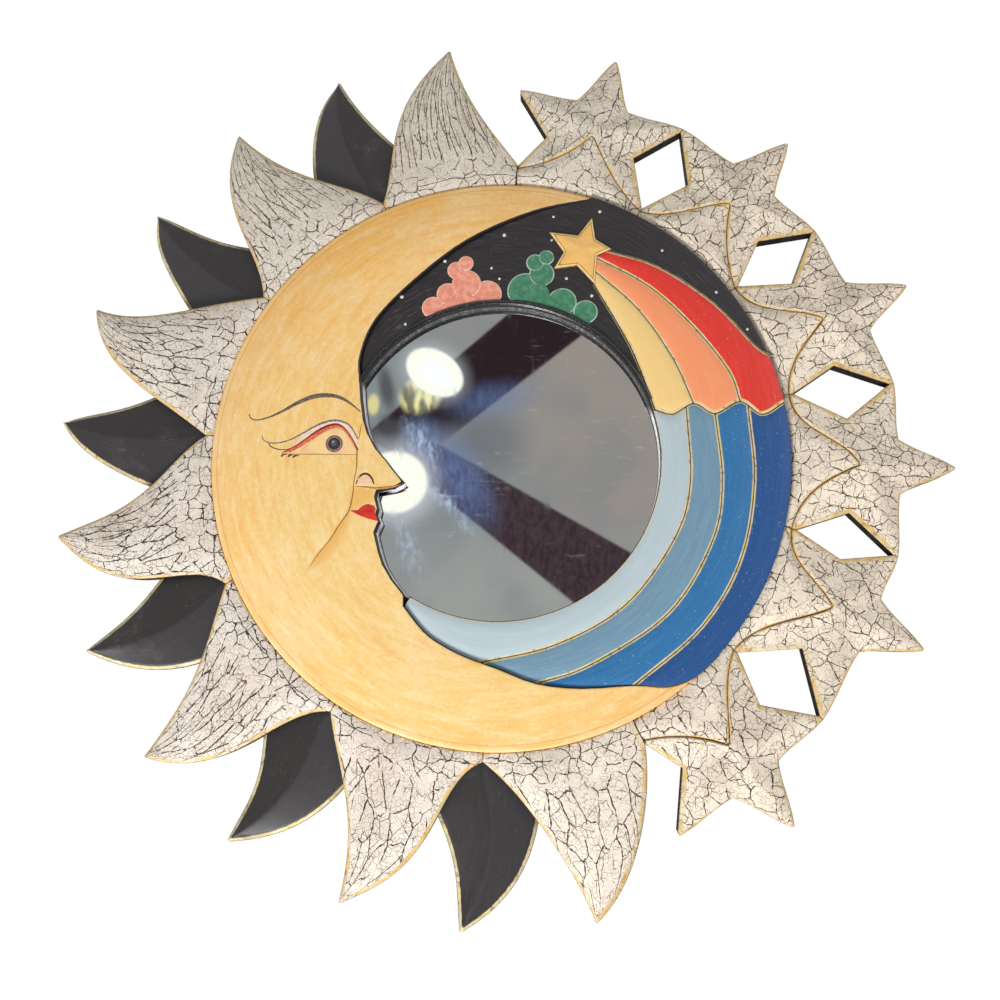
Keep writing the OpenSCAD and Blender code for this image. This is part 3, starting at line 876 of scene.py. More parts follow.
def mirror_silver():
    """Silvered glass with dust and wiped streaks."""
    f = Finish("mirror_silver")
    place = f.place()
    wiped = f.stretched(f.shaken(place, 12.0, 0.02), (1.0, 1.0, 0.12))
    swept = f.stretched(f.shaken(place, 7.0, 0.04), (0.16, 1.0, 1.0))
    haze = f.spots(0.45, 0.8, 70.0, 4.0, 0.6, f.stretched(place, (1.0, 1.0, 0.35)))
    haze = haze * f.spots(0.4, 0.75, 260.0, 3.0, 0.7, wiped)
    scratch = f.spots(0.58, 0.72, 330.0, 4.0, 0.7, swept) * f.spots(0.46, 0.62, 15.0, 2.0)
    dust = f.spots(0.7, 0.76, 1400.0, 2.0)
    shader = f.node("ShaderNodeBsdfPrincipled", {}, {
        "Base Color": f.mix(haze * 0.4, (230, 233, 234), (206, 216, 230)),
        "Roughness": 0.02 + haze * 0.1 + dust * 0.1,
        "Metallic": 1 - scratch * 0.2 - haze * 0.03 - dust * 0.1,
    })
    return f.done(shader)


def plywood():
    f = Finish("plywood")
    place = f.place()
    wave = f.noise(f.stretched(f.shaken(place, 9.0, 0.03), (1.0, 1.0, 0.07)), 150.0, 4.0, 0.6)
    pore = f.noise(f.stretched(place, (1.0, 1.0, 0.05)), 1300.0, 2.0)
    layer = f.math("PINGPONG", f.axis(place, 1), MM)
    colour = f.layers(
        (196, 158, 112),
        (f.smooth(wave, 0.3, 0.72), (168, 126, 82)),
        (f.smooth(pore, 0.56, 0.74) * 0.55, (122, 88, 56)),
        (f.spots(0.55, 0.75, 11.0) * 0.25, (120, 90, 60)),
        (f.smooth(layer, 0.4 * MM, 0.6 * MM) * 0.55, (112, 78, 48)),
    )
    return f.surface(colour, 0.7, f.bump(pore * 0.6 + wave * 0.4, 0.12))


def plated(name, colour, dull, roughness):
    """Plated steel with a little tarnish."""
    f = Finish(name)
    tarnish = f.spots(0.45, 0.75, 420.0, 4.0, 0.65)
    scratch = f.noise(f.stretched(f.place(), (1.0, 1.0, 0.1)), 3000.0, 2.0)
    tone = f.mix(tarnish * 0.7, colour, dull)
    return f.surface(tone, roughness + tarnish * 0.2, f.bump(scratch, 0.01), metallic=1.0)


CRACKLE = crackle_paint()
DARK = dark_paint()
SIDE = side_paint()
BACK = bare_back()
OPENING = opening_side()
MOON = moon_paint()
SKY = sky_paint()
BEAD = bead_paint()
WARM = [
    band_paint("tail_yellow", (252, 212, 138), (255, 226, 158)),
    band_paint("tail_salmon", (255, 156, 108), (255, 176, 130)),
    band_paint("tail_red", (226, 54, 46), (236, 88, 72)),
]
BLUES = [
    band_paint("palest_blue", (184, 201, 207), (204, 216, 220)),
    band_paint("light_blue", (112, 148, 172), (142, 172, 188)),
    band_paint("mid_blue", (46, 112, 166), (80, 138, 184)),
    band_paint("deep_blue", (36, 80, 138), (58, 102, 156)),
]
ZINC = plated("zinc", (200, 198, 190), (140, 134, 122), 0.32)
BRASS = plated("brass", (206, 176, 112), (142, 112, 66), 0.3)


# Rays and stars


def crackled(name, outline, top, grain, cell, angle, share, creases=()):
    """A crackled board, which keeps the width and length of the cells between its cracks."""
    made = board(name, outline, top, back_z, (CRACKLE, SIDE, BACK), grain=grain, creases=creases)
    mark(made.data, "cell", [[*cell, 1.0]] * len(made.data.vertices))
    return lay(made, angle, share)


def banded(name, right, left, line, ends, height, grain, cell, angle, share):
    """A crackled ray with its piece of the band round the disc, and a tongue below, between two angles."""
    root = arc(centre, lap_r + fit, ends[1] - tongue_side, ends[0] + tongue_side)
    outline = Outline((right, *line[0]), (left[::-1], *line[1]), (root, 0, 0))
    joint = [arc(centre, disc_r + step, ends[0] + 1.2, ends[1] - 1.2) for step in (0.0, 0.15)]

    def top(places, near):
        disc = np.linalg.norm(places, axis=1) - disc_r
        return np.where(disc < 0.05, lap_z - 0.05, height(places, disc) + hand(places))

    return crackled(name, outline, top, grain, cell, angle, share, joint)


# How far the tone of the bare back moves on from one board to the next
tone_step = 0.37


def hand(places):
    """The unevenness that a gouge and sandpaper leave, in millimetres."""
    return 0.22 * rough(places, 17.0, 3.1) + 0.08 * rough(places, 5.0, 8.7) - 0.2


def dark_ray(i, base=back_z):
    sides = []
    for side, bows in ((1, dark_left[i]), (-1, dark_right[i])):
        a = sun_cusps[i + 1] + side * dark_half
        root = polar((lap_r + fit) / math.cos(math.radians(dark_half)), a)
        tip = tip_side(band_r + dark_len, dark_at[i], side)
        sides.append(np.vstack([root, bowed(polar(band_r, a), tip, bows)]))
    left, right = sides
    bevel_w = 2.6
    outline = Outline((right, bevel_w, 0.35), (left[::-1], bevel_w, 0.35), ((left[0], right[0]), 0, 0))
    edge_z = dark_edge - dark_fall

    def top(places, near):
        a = line_distance(places, left)
        b = line_distance(places, right)
        share = 2 * np.minimum(a, b) / np.maximum(a + b, 0.1)
        rise = (lap_z - edge_z) * (1.001 - np.sqrt((1 - share) ** 2 + 0.002))
        bevel = 1.3 * np.clip(1 - near / bevel_w, 0, 1)
        return edge_z + rise - bevel + 0.5 * np.minimum(hand(places), 0)

    # The left facet's share, which the dark paint makes paler as painted light
    def lit_left_facet(places):
        return np.clip((line_distance(places, right) - line_distance(places, left)) / 3 + 0.5, 0, 1)

    grain = along_grain(polar(band_r, dark_at[i]), dark_at[i], 2.0, 12.0, i * 7.3)
    paints = (DARK, SIDE, BACK)
    shades = (("facet", lit_left_facet),)
    made = board(f"dark_ray_{i + 1}_carved", outline, top, base, paints, grain=grain, shades=shades)
    return lay(made, dark_at[i], (i + 0.5) * tone_step)


# Width and length of the cells between the wide cracks on each sun ray
sun_cells = [(4.0, 34), (5.2, 26), (6.0, 24), (6.0, 22), (6.0, 26), (9.0, 24), (9.0, 26)]
# Width of the gold on each sun ray's left side
sun_gold = [2.0, 2.2, 2.6, 2.4, 2.6, 2.8, 3.6]


def sun_ray(i):
    starts = [band_r + (end_step if k in (0, len(sun_at)) else 0) for k in (i, i + 1)]
    tips = [tip_side(band_r + sun_len, sun_at[i], side) for side in (-1, 1)]
    right = bowed(polar(starts[0], sun_cusps[i]), tips[0], sun_right[i])
    left = bowed(polar(starts[1], sun_cusps[i + 1]), tips[1], sun_left[i])
    sides = np.vstack([right, left[::-1]])
    least = 1.3
    dome = 3.2
    dome_w = 24.0
    root_w = 14.0
    rounded = 0.9
    rounded_w = 1.4

    def height(places, disc):
        side = line_distance(places, sides)
        rise = least + dome * falloff(side, dome_w) * (0.3 + 0.7 * falloff(disc, root_w))
        return ray_edge + rise - rounded * (1 - falloff(side, rounded_w))

    grain = fan_grain(right, left, *sun_cells[i], i * 3.7)
    line = ((2.3, 0), (sun_gold[i], 0))
    name = f"sun_ray_{i + 1}_carved"
    ends = sun_cusps[i:i + 2]
    return banded(name, right, left, line, ends, height, grain, sun_cells[i], sun_at[i], i * tone_step)


def cusp_r(i):
    return band_r + (end_step if i in (0, len(star_at)) else joint_w)


def seam(i, side):
    """One side of a short ray, from the band to the middle of its star."""
    cusp = i if side > 0 else i + 1
    start = polar(cusp_r(cusp) - joint_w, star_cusps[cusp])
    end = tip_side(band_r + star_out - seam_gap, star_at[i], side)
    return bowed(start, end, (seam_left if side > 0 else seam_right)[i], 24)


def short_ray(i):
    left = seam(i, 1)
    right = seam(i, -1)

    def height(places, disc):
        side = np.minimum(line_distance(places, left), line_distance(places, right))
        share = np.clip((np.linalg.norm(places, axis=1) - band_r) / (star_out - seam_gap), 0, 1)
        edge = short_edge + short_edge_rise * share
        crown = short_crown + short_crown_rise * share
        near_disc = 0.3 + 0.7 * falloff(disc, 10.0)
        return edge + (crown - edge) * falloff(side, 10.0) * near_disc - 0.45 * (1 - falloff(side, 1.5))

    a = star_at[i]
    cell = (8.0, 13.0)
    grain = along_grain(polar(band_r, a), a + 6, *cell, 41 + i * 5.1)
    line = ((1.2, 0.2), (1.2, 0.2))
    name = f"short_ray_{i + 1}_carved"
    ends = star_cusps[i:i + 2][::-1]
    return banded(name, right, left, line, ends, height, grain, cell, a, (i + 2) * tone_step)


def star_shape(i):
    """A star's outline, and its facets as triangles with heights."""
    middle_r = band_r + star_out
    shared_r = band_r + star_shared
    a = star_at[i]

    def half(side, k):
        """Corners from the tip to the short ray on one side."""
        return [
            tip_side(middle_r + star_tip, a, side),
            polar(middle_r + notch_out, a + side * notch_side[0]),
            polar(shared_r + joint_w / 2, shared_at[k]),
            polar(shared_r - joint_w / 2, shared_at[k]),
            polar(middle_r - notch_in, a + side * notch_side[1]),
            polar(cusp_r(k), star_cusps[k]),
        ]

    before = half(1, i)
    after = half(-1, i + 1)[::-1]
    before.insert(0, after.pop())
    left = seam(i, 1)
    right = seam(i, -1)[::-1]
    rise = np.linspace(0, star_crown - ray_edge, len(left))
    heights = [*[-star_fall] * 7, *rise, *rise[::-1], *[-star_fall] * 5]
    corners = [(*p, ray_edge + z) for p, z in zip([*before, *left, *right, *after], heights)]
    corners.append(corners[0])
    hub = (*polar(middle_r, a), star_crown)
    # The corners at the two inner notches, and between them the short ray's tip
    notch = 5
    tip = len(before) + len(left) - 1
    other = tip + len(right) + 2

    def fan(at, ks):
        return [(at, corners[j], corners[k]) for j, k in zip(ks, ks[1:])]

    fans = fan(hub, range(notch + 1)) + fan(corners[notch], range(notch + 1, tip + 1))
    fans += fan(hub, [notch, tip, tip + 1, other]) + fan(corners[other], range(tip + 1, other))
    fans += fan(hub, range(other, len(corners)))
    outer, hole, joint = (1.7, 0), (3.2, 0), (0, 0)
    outline = Outline(
        (before[:2], *outer),
        (bowed(before[1], before[2], star_bow, 8), *outer),
        (bowed(before[2], before[3], star_bow[::-1], 8), *outer),
        (before[3:5], *joint),
        (before[4:], *hole),
        ((before[-1], left[0]), *joint),
        ([*left, *right], 1.3, 0.2),
        ((right[-1], after[0]), *joint),
        (after[:3], *hole),
        (after[2:4], *joint),
        (bowed(after[3], after[4], star_bow, 8), *outer),
        (bowed(after[4], before[0], star_bow[::-1], 8), *outer),
    )
    return outline, fans, (left, right)


def facet_height(places, fans):
    """Height of the facets over places."""
    made = np.full(len(places), np.nan)
    for a, b, c in np.array(fans, float):
        b = b - a
        c = c - a
        whole = b[0] * c[1] - b[1] * c[0]
        if abs(whole) > 1e-6:
            x, y = (places - a[:2]).T
            s = (x * c[1] - y * c[0]) / whole
            t = (y * b[0] - x * b[1]) / whole
            inside = (s > -0.004) & (t > -0.004) & (s + t < 1.004) & np.isnan(made)
            made[inside] = (a[2] + s * b[2] + t * c[2])[inside]
    return made


# How far a star's outer sides bow in, near the tip and near the notch
star_bow = [-1.7, 1.9]
# Height of a star's middle, and how far its edge lies below that of the other rays
star_crown = 21.0
star_fall = 1.2

# Width and length of the cells between the wide cracks on each star
star_cells = [(9.0, 15.0), (8.0, 12.0), (8.0, 12.0), (8.0, 13.0), (9.0, 13.0), (10.0, 14.0)]


def star(i):
    outline, fans, seams = star_shape(i)
    # Heights are averaged over a small ring, so that the ridges are as soft as sanded ones
    steps = [np.zeros(2)] + [polar(0.9, a) for a in range(0, 360, 60)]

    def top(places, near):
        rings = np.array([facet_height(places + step, fans) for step in steps])
        made = np.where(np.isnan(rings), ray_edge - star_fall, rings).mean(axis=0)
        side = np.minimum(*[line_distance(places, line) for line in seams])
        return made - 0.35 * (1 - falloff(side, 1.8)) - 0.5 * (1 - falloff(near, 1.0)) + hand(places)

    a = star_at[i]
    grain = along_grain(polar(band_r, a), a - 12, *star_cells[i], 83 + i * 6.3)
    return crackled(f"star_{i + 1}_carved", outline, top, grain, star_cells[i], a + 60, (i + 4) * tone_step)


# Moon disc


def moon_height(places, near=None):
    """The moon's front: a rounded rim, then a low dome, then flat."""
    round_w = 2.5
    dome_w = 44.0
    inside = disc_r - round_w - np.linalg.norm(places, axis=1)
    dome = rim_z + (moon_z - rim_z) * np.sin(np.radians(90 * np.clip(inside / dome_w, 0, 1)))
    dome = dome - round_w + np.sqrt(round_w ** 2 - np.clip(-inside, 0, round_w) ** 2)
    made = dome - 0.3 + 0.1 * rough(places, 30.0, 5.5)
    for line, depth, width in carved_lines:
        made = made - depth * (1 - falloff(line_distance(places, line), width))
    if near is not None:
        made = made - 0.6 * (1 - falloff(near, 1.0))
    return made


crease = spline([(-96, -23), (-97, -31), (-99, -39), (-105, -48), (-111, -58), (-119, -68), (-124, -76)], 4)
nostril = spline([
    (-94.4, -20.6), (-93.2, -16.8), (-90.8, -14.2), (-88, -13.3), (-85.4, -14.4), (-83.4, -17),
    (-82.3, -20.4),
], 4)
carved_lines = [(crease, 0.5, 3.5), (nostril, 0.3, 1.6)]
under_cheek = np.array([
    (-81, -24), (-80, -33), (-84, -34), (-88, -34.5), (-91, -37), (-97, -38.5), (-97, -46),
    (-101, -55), (-106, -65), (-112.5, -73), (-121, -77),
])


def tan_shade(places):
    """The soft tan brushed below the nose and on the right of the cheek's crease."""
    shade = Outline((crease, 0, 0), (under_cheek[::-1], 0, 0))
    brushed = 0.35 + 0.55 * np.clip(line_distance(places, under_cheek) / 4, 0, 1)
    at_crease = 0.8 * np.clip(1 - line_distance(places, crease) / 1.8, 0, 1)
    return np.maximum(shade.holds(places) * brushed, at_crease)


def tile(name, runs, height, drop_w, drop, used, at, across=0.8, along=30.0):
    """One painted field of the disc, rounded towards its edges, with its strokes round a point."""

    def top(places, near):
        return height - 0.1 - drop * (1 - falloff(near, drop_w)) + 0.08 * rough(places, 22.0, 2.2)

    grain = round_grain(at, across, along)
    return board(name, Outline(*runs), top, tile_z, (used, OPENING, BACK), grain=grain)


def moon():
    outline = Outline(
        (arc(centre, disc_r, horn_turn, 360 + chin_turn), 0, 0),
        (spline(lower_edge, 3)[::-1], 0, 0.35),
        (face[::-1], 0, 1.0),
        (spline(horn, 5)[::-1], 0, 1.3),
        ((horn[0], polar(disc_r, horn_turn)), 0, 0.6),
    )
    face_area = ((-175, -95), (-58, 58), 1.5)
    grain = round_grain(centre, 0.9, 15.0)
    paints = (MOON, OPENING, BACK)
    shades = [("tan", tan_shade)]
    return board("moon", outline, moon_height, tile_z, paints, 3.0, face_area, grain=grain, shades=shades)


def night_sky():
    runs = [
        (spline(horn, 5), 0, 0),
        (arc(opening_at, opening_r, 150, 17), 0, 0),
        (spline(tail_inner, 3), 0.9, 0),
        ([tail_inner[-1], tail_seams[0][0], tail_seams[1][0], tail_outer[0]], 0, 0),
        (spline(tail_outer, 4), 0.9, 0),
        (arc(centre, disc_r, tail_turn, horn_turn), 0, 0),
    ]
    return tile("night_sky", runs, sky_z, 1.0, 0.3, SKY, centre, 1.2, 20.0)


def between(line, start, end):
    """The stretch of a line between the points nearest to two places."""
    a, b = [int(np.argmin(np.linalg.norm(line - np.array(p), axis=1))) for p in (start, end)]
    return line[a:b + 1] if a <= b else line[b:a + 1][::-1]


def rainbow():
    """The tail of the shooting star in three colours, and the four blue bands below it."""
    edge = spline(scallops, 8)
    low = spline(lower_edge, 8)
    line = (1.5, 0.35)
    end = (2.4, 0.5)
    tail_edge = (7.0, 1.0)
    band_edge = (8.0, 1.1)
    strokes_at = (40, 20)
    parts = []
    lines = [spline(tail_inner, 4)[::-1], *[spline(seam, 6) for seam in tail_seams], spline(tail_outer, 4)]
    ends = [edge[0], lines[1][-1], lines[2][-1], edge[-1]]
    rims = [[], [], [(arc(centre, disc_r, tail_turn, band_turn), 0, 0)]]
    for k, used in enumerate(WARM):
        left, right = lines[k:k + 2]
        parts.append(tile("tail", [
            (left[::-1], *line), ((left[0], right[0]), 0, 0), (right, *line), *rims[k],
            (between(edge, ends[k + 1], ends[k]), *end),
        ], rainbow_z, *tail_edge, used, strokes_at))
    seams = [spline(seam, 8) for seam in band_seams]
    lines = [arc(opening_at, opening_r, 17, -122), *seams, arc(centre, disc_r, band_turn, chin_turn)]
    widths = [(1.0, 0.5), line, line, line, (0, 0)]
    tops = [edge[0], *[seam[0] for seam in seams], edge[-1]]
    lows = [low[0], *[seam[-1] for seam in seams], low[-1]]
    for k, used in enumerate(BLUES):
        parts.append(tile("band", [
            (between(edge, *tops[k:k + 2]), 1.2, 0.3), (lines[k + 1], *widths[k + 1]),
            (between(low, *lows[k:k + 2])[::-1], 0, 0.4), (lines[k][::-1], *widths[k]),
        ], rainbow_z, *band_edge, used, opening_at))
    return join("rainbow", parts)


def disc_body():
    """The disc's wood behind the painted fields: a lap for the rays and a seat for the glass."""
    middle = np.array(opening_at)
    rim = np.vstack([arc(opening_at, opening_r, -122, 150, 200), spline(face, 3)])
    away = (rim - middle) / np.linalg.norm(rim - middle, axis=1)[:, None]

    def ring(at, r):
        """Where lines from the opening's middle through its rim meet a circle."""
        o = middle - np.array(at)
        along = -(away @ o) + np.sqrt((away @ o) ** 2 - o @ o + r * r)
        return middle + away * along[:, None]

    top = tile_z + 0.3
    disc = ring(centre, disc_r - 0.1)
    lap = ring(centre, lap_r)
    glass = ring(opening_at, glass_r + fit)
    loops = [
        (disc, top), (disc, lap_z), (lap, lap_z), (lap, back_z),
        (glass, back_z), (glass, seat_z), (rim, seat_z), (rim, top),
    ]
    n = len(rim)
    m = len(loops)
    corners = np.arange(n * m).reshape(m, n)
    after = np.roll(corners, -1, axis=0)
    faces = np.stack([corners, after, np.roll(after, -1, axis=1), np.roll(corners, -1, axis=1)], axis=2)
    faces = faces.reshape(-1, 4).tolist()
    made = object_from("disc_body", [(*p, z) for loop, z in loops for p in loop], faces, False)
    for used in (BACK, OPENING):
        made.data.materials.append(used)
    kinds = [1 if k // n in (0, 5, 6, 7) else 0 for k in range(len(faces))]
    made.data.polygons.foreach_set("material_index", kinds)
    return lay(made, 90, 0.2)


# Painted details


def patch(name, points, used, lift, on=moon_height, line=0.0, step=1.2):
    """A flat touch of paint that lies on a carved surface."""

    def top(places, near):
        return on(places) + lift * (0.5 + 0.5 * falloff(near, 0.4))

    def base(places, near):
        return on(places) - 0.3

    return board(name, Outline((points, line, 0), step=step), top, base, [used] * 3, 1.5)


def stroke(name, points, widths, used, lift, on=moon_height):
    """A brush stroke along a line, with its widths from one end to the other."""
    line = spline(points, 5)
    share = np.linspace(0, 1, len(line))
    half = np.interp(share, np.linspace(0, 1, len(widths)), widths) / 2
    way = np.gradient(line, axis=0)
    left = np.stack([-way[:, 1], way[:, 0]], axis=1) / np.linalg.norm(way, axis=1)[:, None]
    sides = np.vstack([line + left * half[:, None], (line - left * half[:, None])[::-1]])
    return patch(name, sides, used, lift, on)


# Two tones of each paint on the face, and the fineness of its strokes where it is broad
face_tones = {
    "brow_grey": ((124, 108, 96), (76, 66, 62)),
    "lid_grey": ((146, 142, 136), (84, 86, 90)),
    "lid_pale": ((250, 226, 196), (242, 202, 190)),
    "lid_red": ((234, 124, 92), (206, 76, 62)),
    "lid_dark": ((150, 44, 40), (110, 48, 44)),
    "eye_fill": ((250, 214, 148), (248, 194, 148), 90.0),
    "iris_rim": ((104, 82, 78), (84, 64, 62)),
    "iris_brown": ((158, 132, 122), (136, 110, 102)),
    "pupil_black": ((50, 42, 46), (66, 56, 60)),
    "pupil_grey": ((92, 90, 96), (72, 70, 76)),
    "glint": ((190, 194, 200), (150, 152, 158)),
    "fine_brown": ((178, 128, 74), (146, 98, 56)),
    "lash_black": ((50, 38, 34), (84, 62, 50)),
    "lip_red": ((216, 58, 44), (190, 40, 36), 120.0),
    "lip_dark": ((142, 30, 30), (160, 40, 36)),
    "nostril_pink": ((250, 206, 168), (246, 196, 160)),
    "nose_tan": ((206, 146, 76), (172, 112, 58)),
}
brow = [
    (-169.9, 29.5), (-168.3, 26.5), (-163.9, 24.9), (-155.2, 26.8), (-145.7, 31.1), (-136.2, 36.4),
    (-126.6, 40.3), (-116.9, 41.6), (-107.2, 40), (-99.3, 35.4), (-92.3, 29.6),
]
lid_top = [
    (-145.5, 1.7), (-139.8, 4.5), (-133.2, 8.4), (-123.8, 15.1), (-116.2, 19.4), (-108.6, 21.0),
    (-102.7, 17.8), (-97.7, 10.9), (-93.7, 3.0),
]
lid_low = [
    (-94.3, 3.0), (-98.6, 10.3), (-103.6, 16.8), (-108.5, 18.9), (-116.2, 16.4), (-123.7, 11.6),
    (-133.1, 5.4), (-139.7, 1.9),
]
hood = [
    (-159.7, 14.1), (-158.9, 11.1), (-155.5, 9.1), (-149.6, 8.4), (-141, 10.4), (-131.5, 15.2),
    (-122.1, 20.5), (-112.5, 23.6), (-104.8, 22.9), (-98.9, 19.2), (-93.6, 10.3),
]
lashes = [
    [(-145.6, -1.1), (-145.1, 0.3), (-142.1, 0.85)], [(-141.3, -1.1), (-140.2, -0.1), (-138.2, 0.1)],
    [(-137.9, -1.7), (-136.7, -0.6), (-134, -0.2)],
]
outer_lash = [(-155, 8.6), (-153.4, 6.2), (-149.5, 4.5), (-144, 3.8), (-138.9, 4.8)]
eye_base = [(-145, 0.9), (-134.9, 0.6), (-123.3, 0.5), (-108.9, 0.2), (-94.6, 0)]
cheek_line = [(-94.2, 2.6), (-94.2, -9), (-95.6, -17), *crease[::4]]
nose_bridge = [(-91.5, 21), (-92.3, 16.7), (-93.1, 10.8)]
nose_base = [(-94.5, -22.3), (-88.3, -22.4), (-81.6, -23.3), (-75, -23), (-68.4, -22.1), (-63.5, -20.6)]
lips = [
    (-97.6, -38.4), (-92.7, -38.1), (-89.4, -35.2), (-85.7, -34), (-81.8, -35.4), (-80.6, -37),
    (-81, -40.5), (-79.6, -43), (-79.6, -45.6), (-85.9, -44), (-92.6, -41.3),
]
mouth = [(-97.6, -38.5), (-89.8, -39), (-82, -38.8)]
iris_at = (-109.9, 7.6)


def face_paint():
    """The brow, the eye, the nose and the lips, brushed on the moon."""
    used = {name: small_paint(name, *tones) for name, tones in face_tones.items()}

    def touch(tone, lift, points, step=1.2):
        return patch(tone, points, used[tone], lift, step=step)

    def brush(tone, lift, points, *widths):
        return stroke(tone, points, widths, used[tone], lift)

    widths = (0.6, 0.8, 0.9, 1.1, 1.7, 2.6, 3.2, 3.0, 2.3, 1.4, 0.7)
    brow_made = stroke("brow", brow, widths, used["brow_grey"], 0.12)
    eye = [
        touch("eye_fill", 0.05, [(-134.9, 0.6), *lid_low[::-1][2:], (-94.6, 0.2)]),
        touch("lid_pale", 0.05, [*spline(hood[5:], 3), *spline(lid_top[1:], 3)[::-1]]),
        touch("lid_red", 0.09, [*spline(lid_top, 3), *spline(lid_low, 3)]),
        brush("lid_dark", 0.12, lid_top, 0.5, 0.7, 1.0, 1.5, 1.9, 1.6, 0.9, 0.8, 1.2),
        brush("lid_grey", 0.13, hood, 0.5, 0.7, 0.8, 0.8, 0.9, 1.1, 1.4, 1.4, 1.3, 1.0, 0.6),
        brush("lash_black", 0.12, outer_lash, 0.6, 0.7, 0.6, 0.4),
        touch("iris_rim", 0.07, arc(iris_at, 6.1, 0, 352, 22)),
        touch("iris_brown", 0.1, arc(iris_at, 5.4, 0, 352, 22)),
        touch("pupil_black", 0.13, arc(iris_at, 4.5, 0, 352, 22)),
        touch("pupil_grey", 0.16, arc((-110, 8.1), 2.4, 0, 345, 15), 0.8),
        touch("glint", 0.19, arc((-110.6, 9), 1.0, 0, 330, 11), 0.6),
        brush("fine_brown", 0.12, eye_base, 0.3, 0.6, 0.6, 0.5),
        *[brush("lash_black", 0.15, lash, 1.2, 1.2, 0.6) for lash in lashes],
    ]
    nose = [
        touch("nostril_pink", 0.06, [*nostril, (-89, -21.4)]),
        brush("lash_black", 0.15, nostril, 0.6, 1.0, 1.3, 1.4, 1.3, 1.1, 0.8),
        brush("fine_brown", 0.3, cheek_line, 0.9, 0.7, 0.6, 0.7, 0.9, 0.9, 0.8, 0.7, 0.6, 0.3),
        brush("fine_brown", 0.12, nose_bridge, 0.3, 0.7, 0.4),
        brush("nose_tan", 0.1, nose_base, 0.6, 1.1, 1.3, 1.6, 1.1, 0.4),
        touch("lip_red", 0.16, lips),
        brush("lip_dark", 0.2, mouth, 0.4, 1.0, 1.4),
    ]
    return brow_made, join("eye", eye), join("nose_and_lips", nose)


def sky_height(places):
    return sky_z - 0.1 + 0.08 * rough(places, 22.0, 2.2)


# Middles and radii of the puffs of each cloud, the lowest layer first
pink_puffs = [
    (-6.5, 113.5, 10.2), (-44, 104.5, 8), (-34, 114.5, 7.8), (-21, 121.5, 10.2), (-28, 131.5, 6.4),
    (-21.4, 136.6, 5.4),
]
green_puffs = [
    (61.4, 99.5, 8.4), (45.5, 107, 10), (20.5, 115.5, 13), (31.5, 127.5, 8.8), (27, 136, 6.3),
    (34.8, 139.6, 5.4),
]
# The bodies that fill the clouds below their puffs
pink_body = [
    (-49, 98), (-44, 100), (-37, 106), (-30, 112), (-22, 115), (-14, 111), (-4, 108), (1, 106), (-22, 104),
]
green_body = [
    (10, 104), (13, 110), (22, 116), (29, 121), (33, 121), (36, 116), (38, 110), (44, 105), (52, 99),
    (60, 95), (64, 93), (62, 90), (38, 98),
]


def cloud(name, puffs, body, used):
    """Flat round puffs that overlap over a body, cut off along the bead."""
    clear = opening_r + bead_r + 1.6
    shapes = [(arc((x, y), r, 0, 350, 35), 0.9) for x, y, r in puffs]
    shapes.append((spline(body + body[:1], 4)[:-1], 0))
    parts = []
    for k, (points, line) in enumerate(shapes):
        away = points - np.array(opening_at)
        far = np.linalg.norm(away, axis=1)
        points = np.array(opening_at) + away * (np.maximum(far, clear) / far)[:, None]
        parts.append(patch(name, points, used, 0.08 + 0.02 * k, sky_height, line))
    return join(name, parts)


class Pattern:
    """A Geometry Nodes tree with named sizes."""

    def __init__(self, name, **sizes):
        self.tree = bpy.data.node_groups.new(name, "GeometryNodeTree")
        self.tree.interface.new_socket("Geometry", in_out="INPUT", socket_type="NodeSocketGeometry")
        self.tree.interface.new_socket("Geometry", in_out="OUTPUT", socket_type="NodeSocketGeometry")
        self.sizes = {key.replace("_", " "): value for key, value in sizes.items()}
        for key, value in self.sizes.items():
            kind = "NodeSocketInt" if isinstance(value, int) else "NodeSocketFloat"
            self.tree.interface.new_socket(key, in_out="INPUT", socket_type=kind)
        self.given = self.tree.nodes.new("NodeGroupInput").outputs

    def node(self, kind, settings=None, inputs=None, output=0):
        return add_node(self.tree, kind, settings, inputs).outputs[output]

    def end(self, geometry, material, smooth=False):
        """Makes instances real, shades them and gives them their material."""
        real = self.node("GeometryNodeRealizeInstances", {}, {0: geometry})
        shaded = self.node("GeometryNodeSetShadeSmooth", {}, {"Geometry": real, "Shade Smooth": smooth})
        done = self.node("GeometryNodeSetMaterial", {}, {"Geometry": shaded, "Material": material})
        self.tree.links.new(done, self.tree.nodes.new("NodeGroupOutput").inputs[0])

    def grow(self, made):
        """Runs the tree on an object, which becomes a plain mesh."""
        change = made.modifiers.new("pattern", "NODES")
        change.node_group = self.tree
        for socket in self.tree.interface.items_tree:
            if socket.in_out == "INPUT" and socket.name in self.sizes:
                change[socket.identifier] = self.sizes[socket.name]
        settle(made, change)
        return made


def bead():
    """The round bead carved along the glass."""
    line = [(*p, sky_z) for p in arc(opening_at, opening_r + bead_r - 0.6, bead_from, bead_to, 120)]
    pattern = Pattern("bead_along_line", Bead_radius=bead_r * MM, Sides=16)
    path = pattern.node("GeometryNodeMeshToCurve", {}, {0: pattern.given["Geometry"]})
    sizes = {"Resolution": pattern.given["Sides"], "Radius": pattern.given["Bead radius"]}
    ring = pattern.node("GeometryNodeCurvePrimitiveCircle", {"mode": "RADIUS"}, sizes)
    tube = pattern.node("GeometryNodeCurveToMesh", {}, {0: path, 1: ring, "Fill Caps": True})
    pattern.end(tube, BEAD, True)
    made = object_from("bead", line, [])
    mesh = made.data
    mesh.edges.add(len(line) - 1)
    mesh.edges.foreach_set("vertices", [k for j in range(len(line) - 1) for k in (j, j + 1)])
    mesh.update()
    return pattern.grow(made)


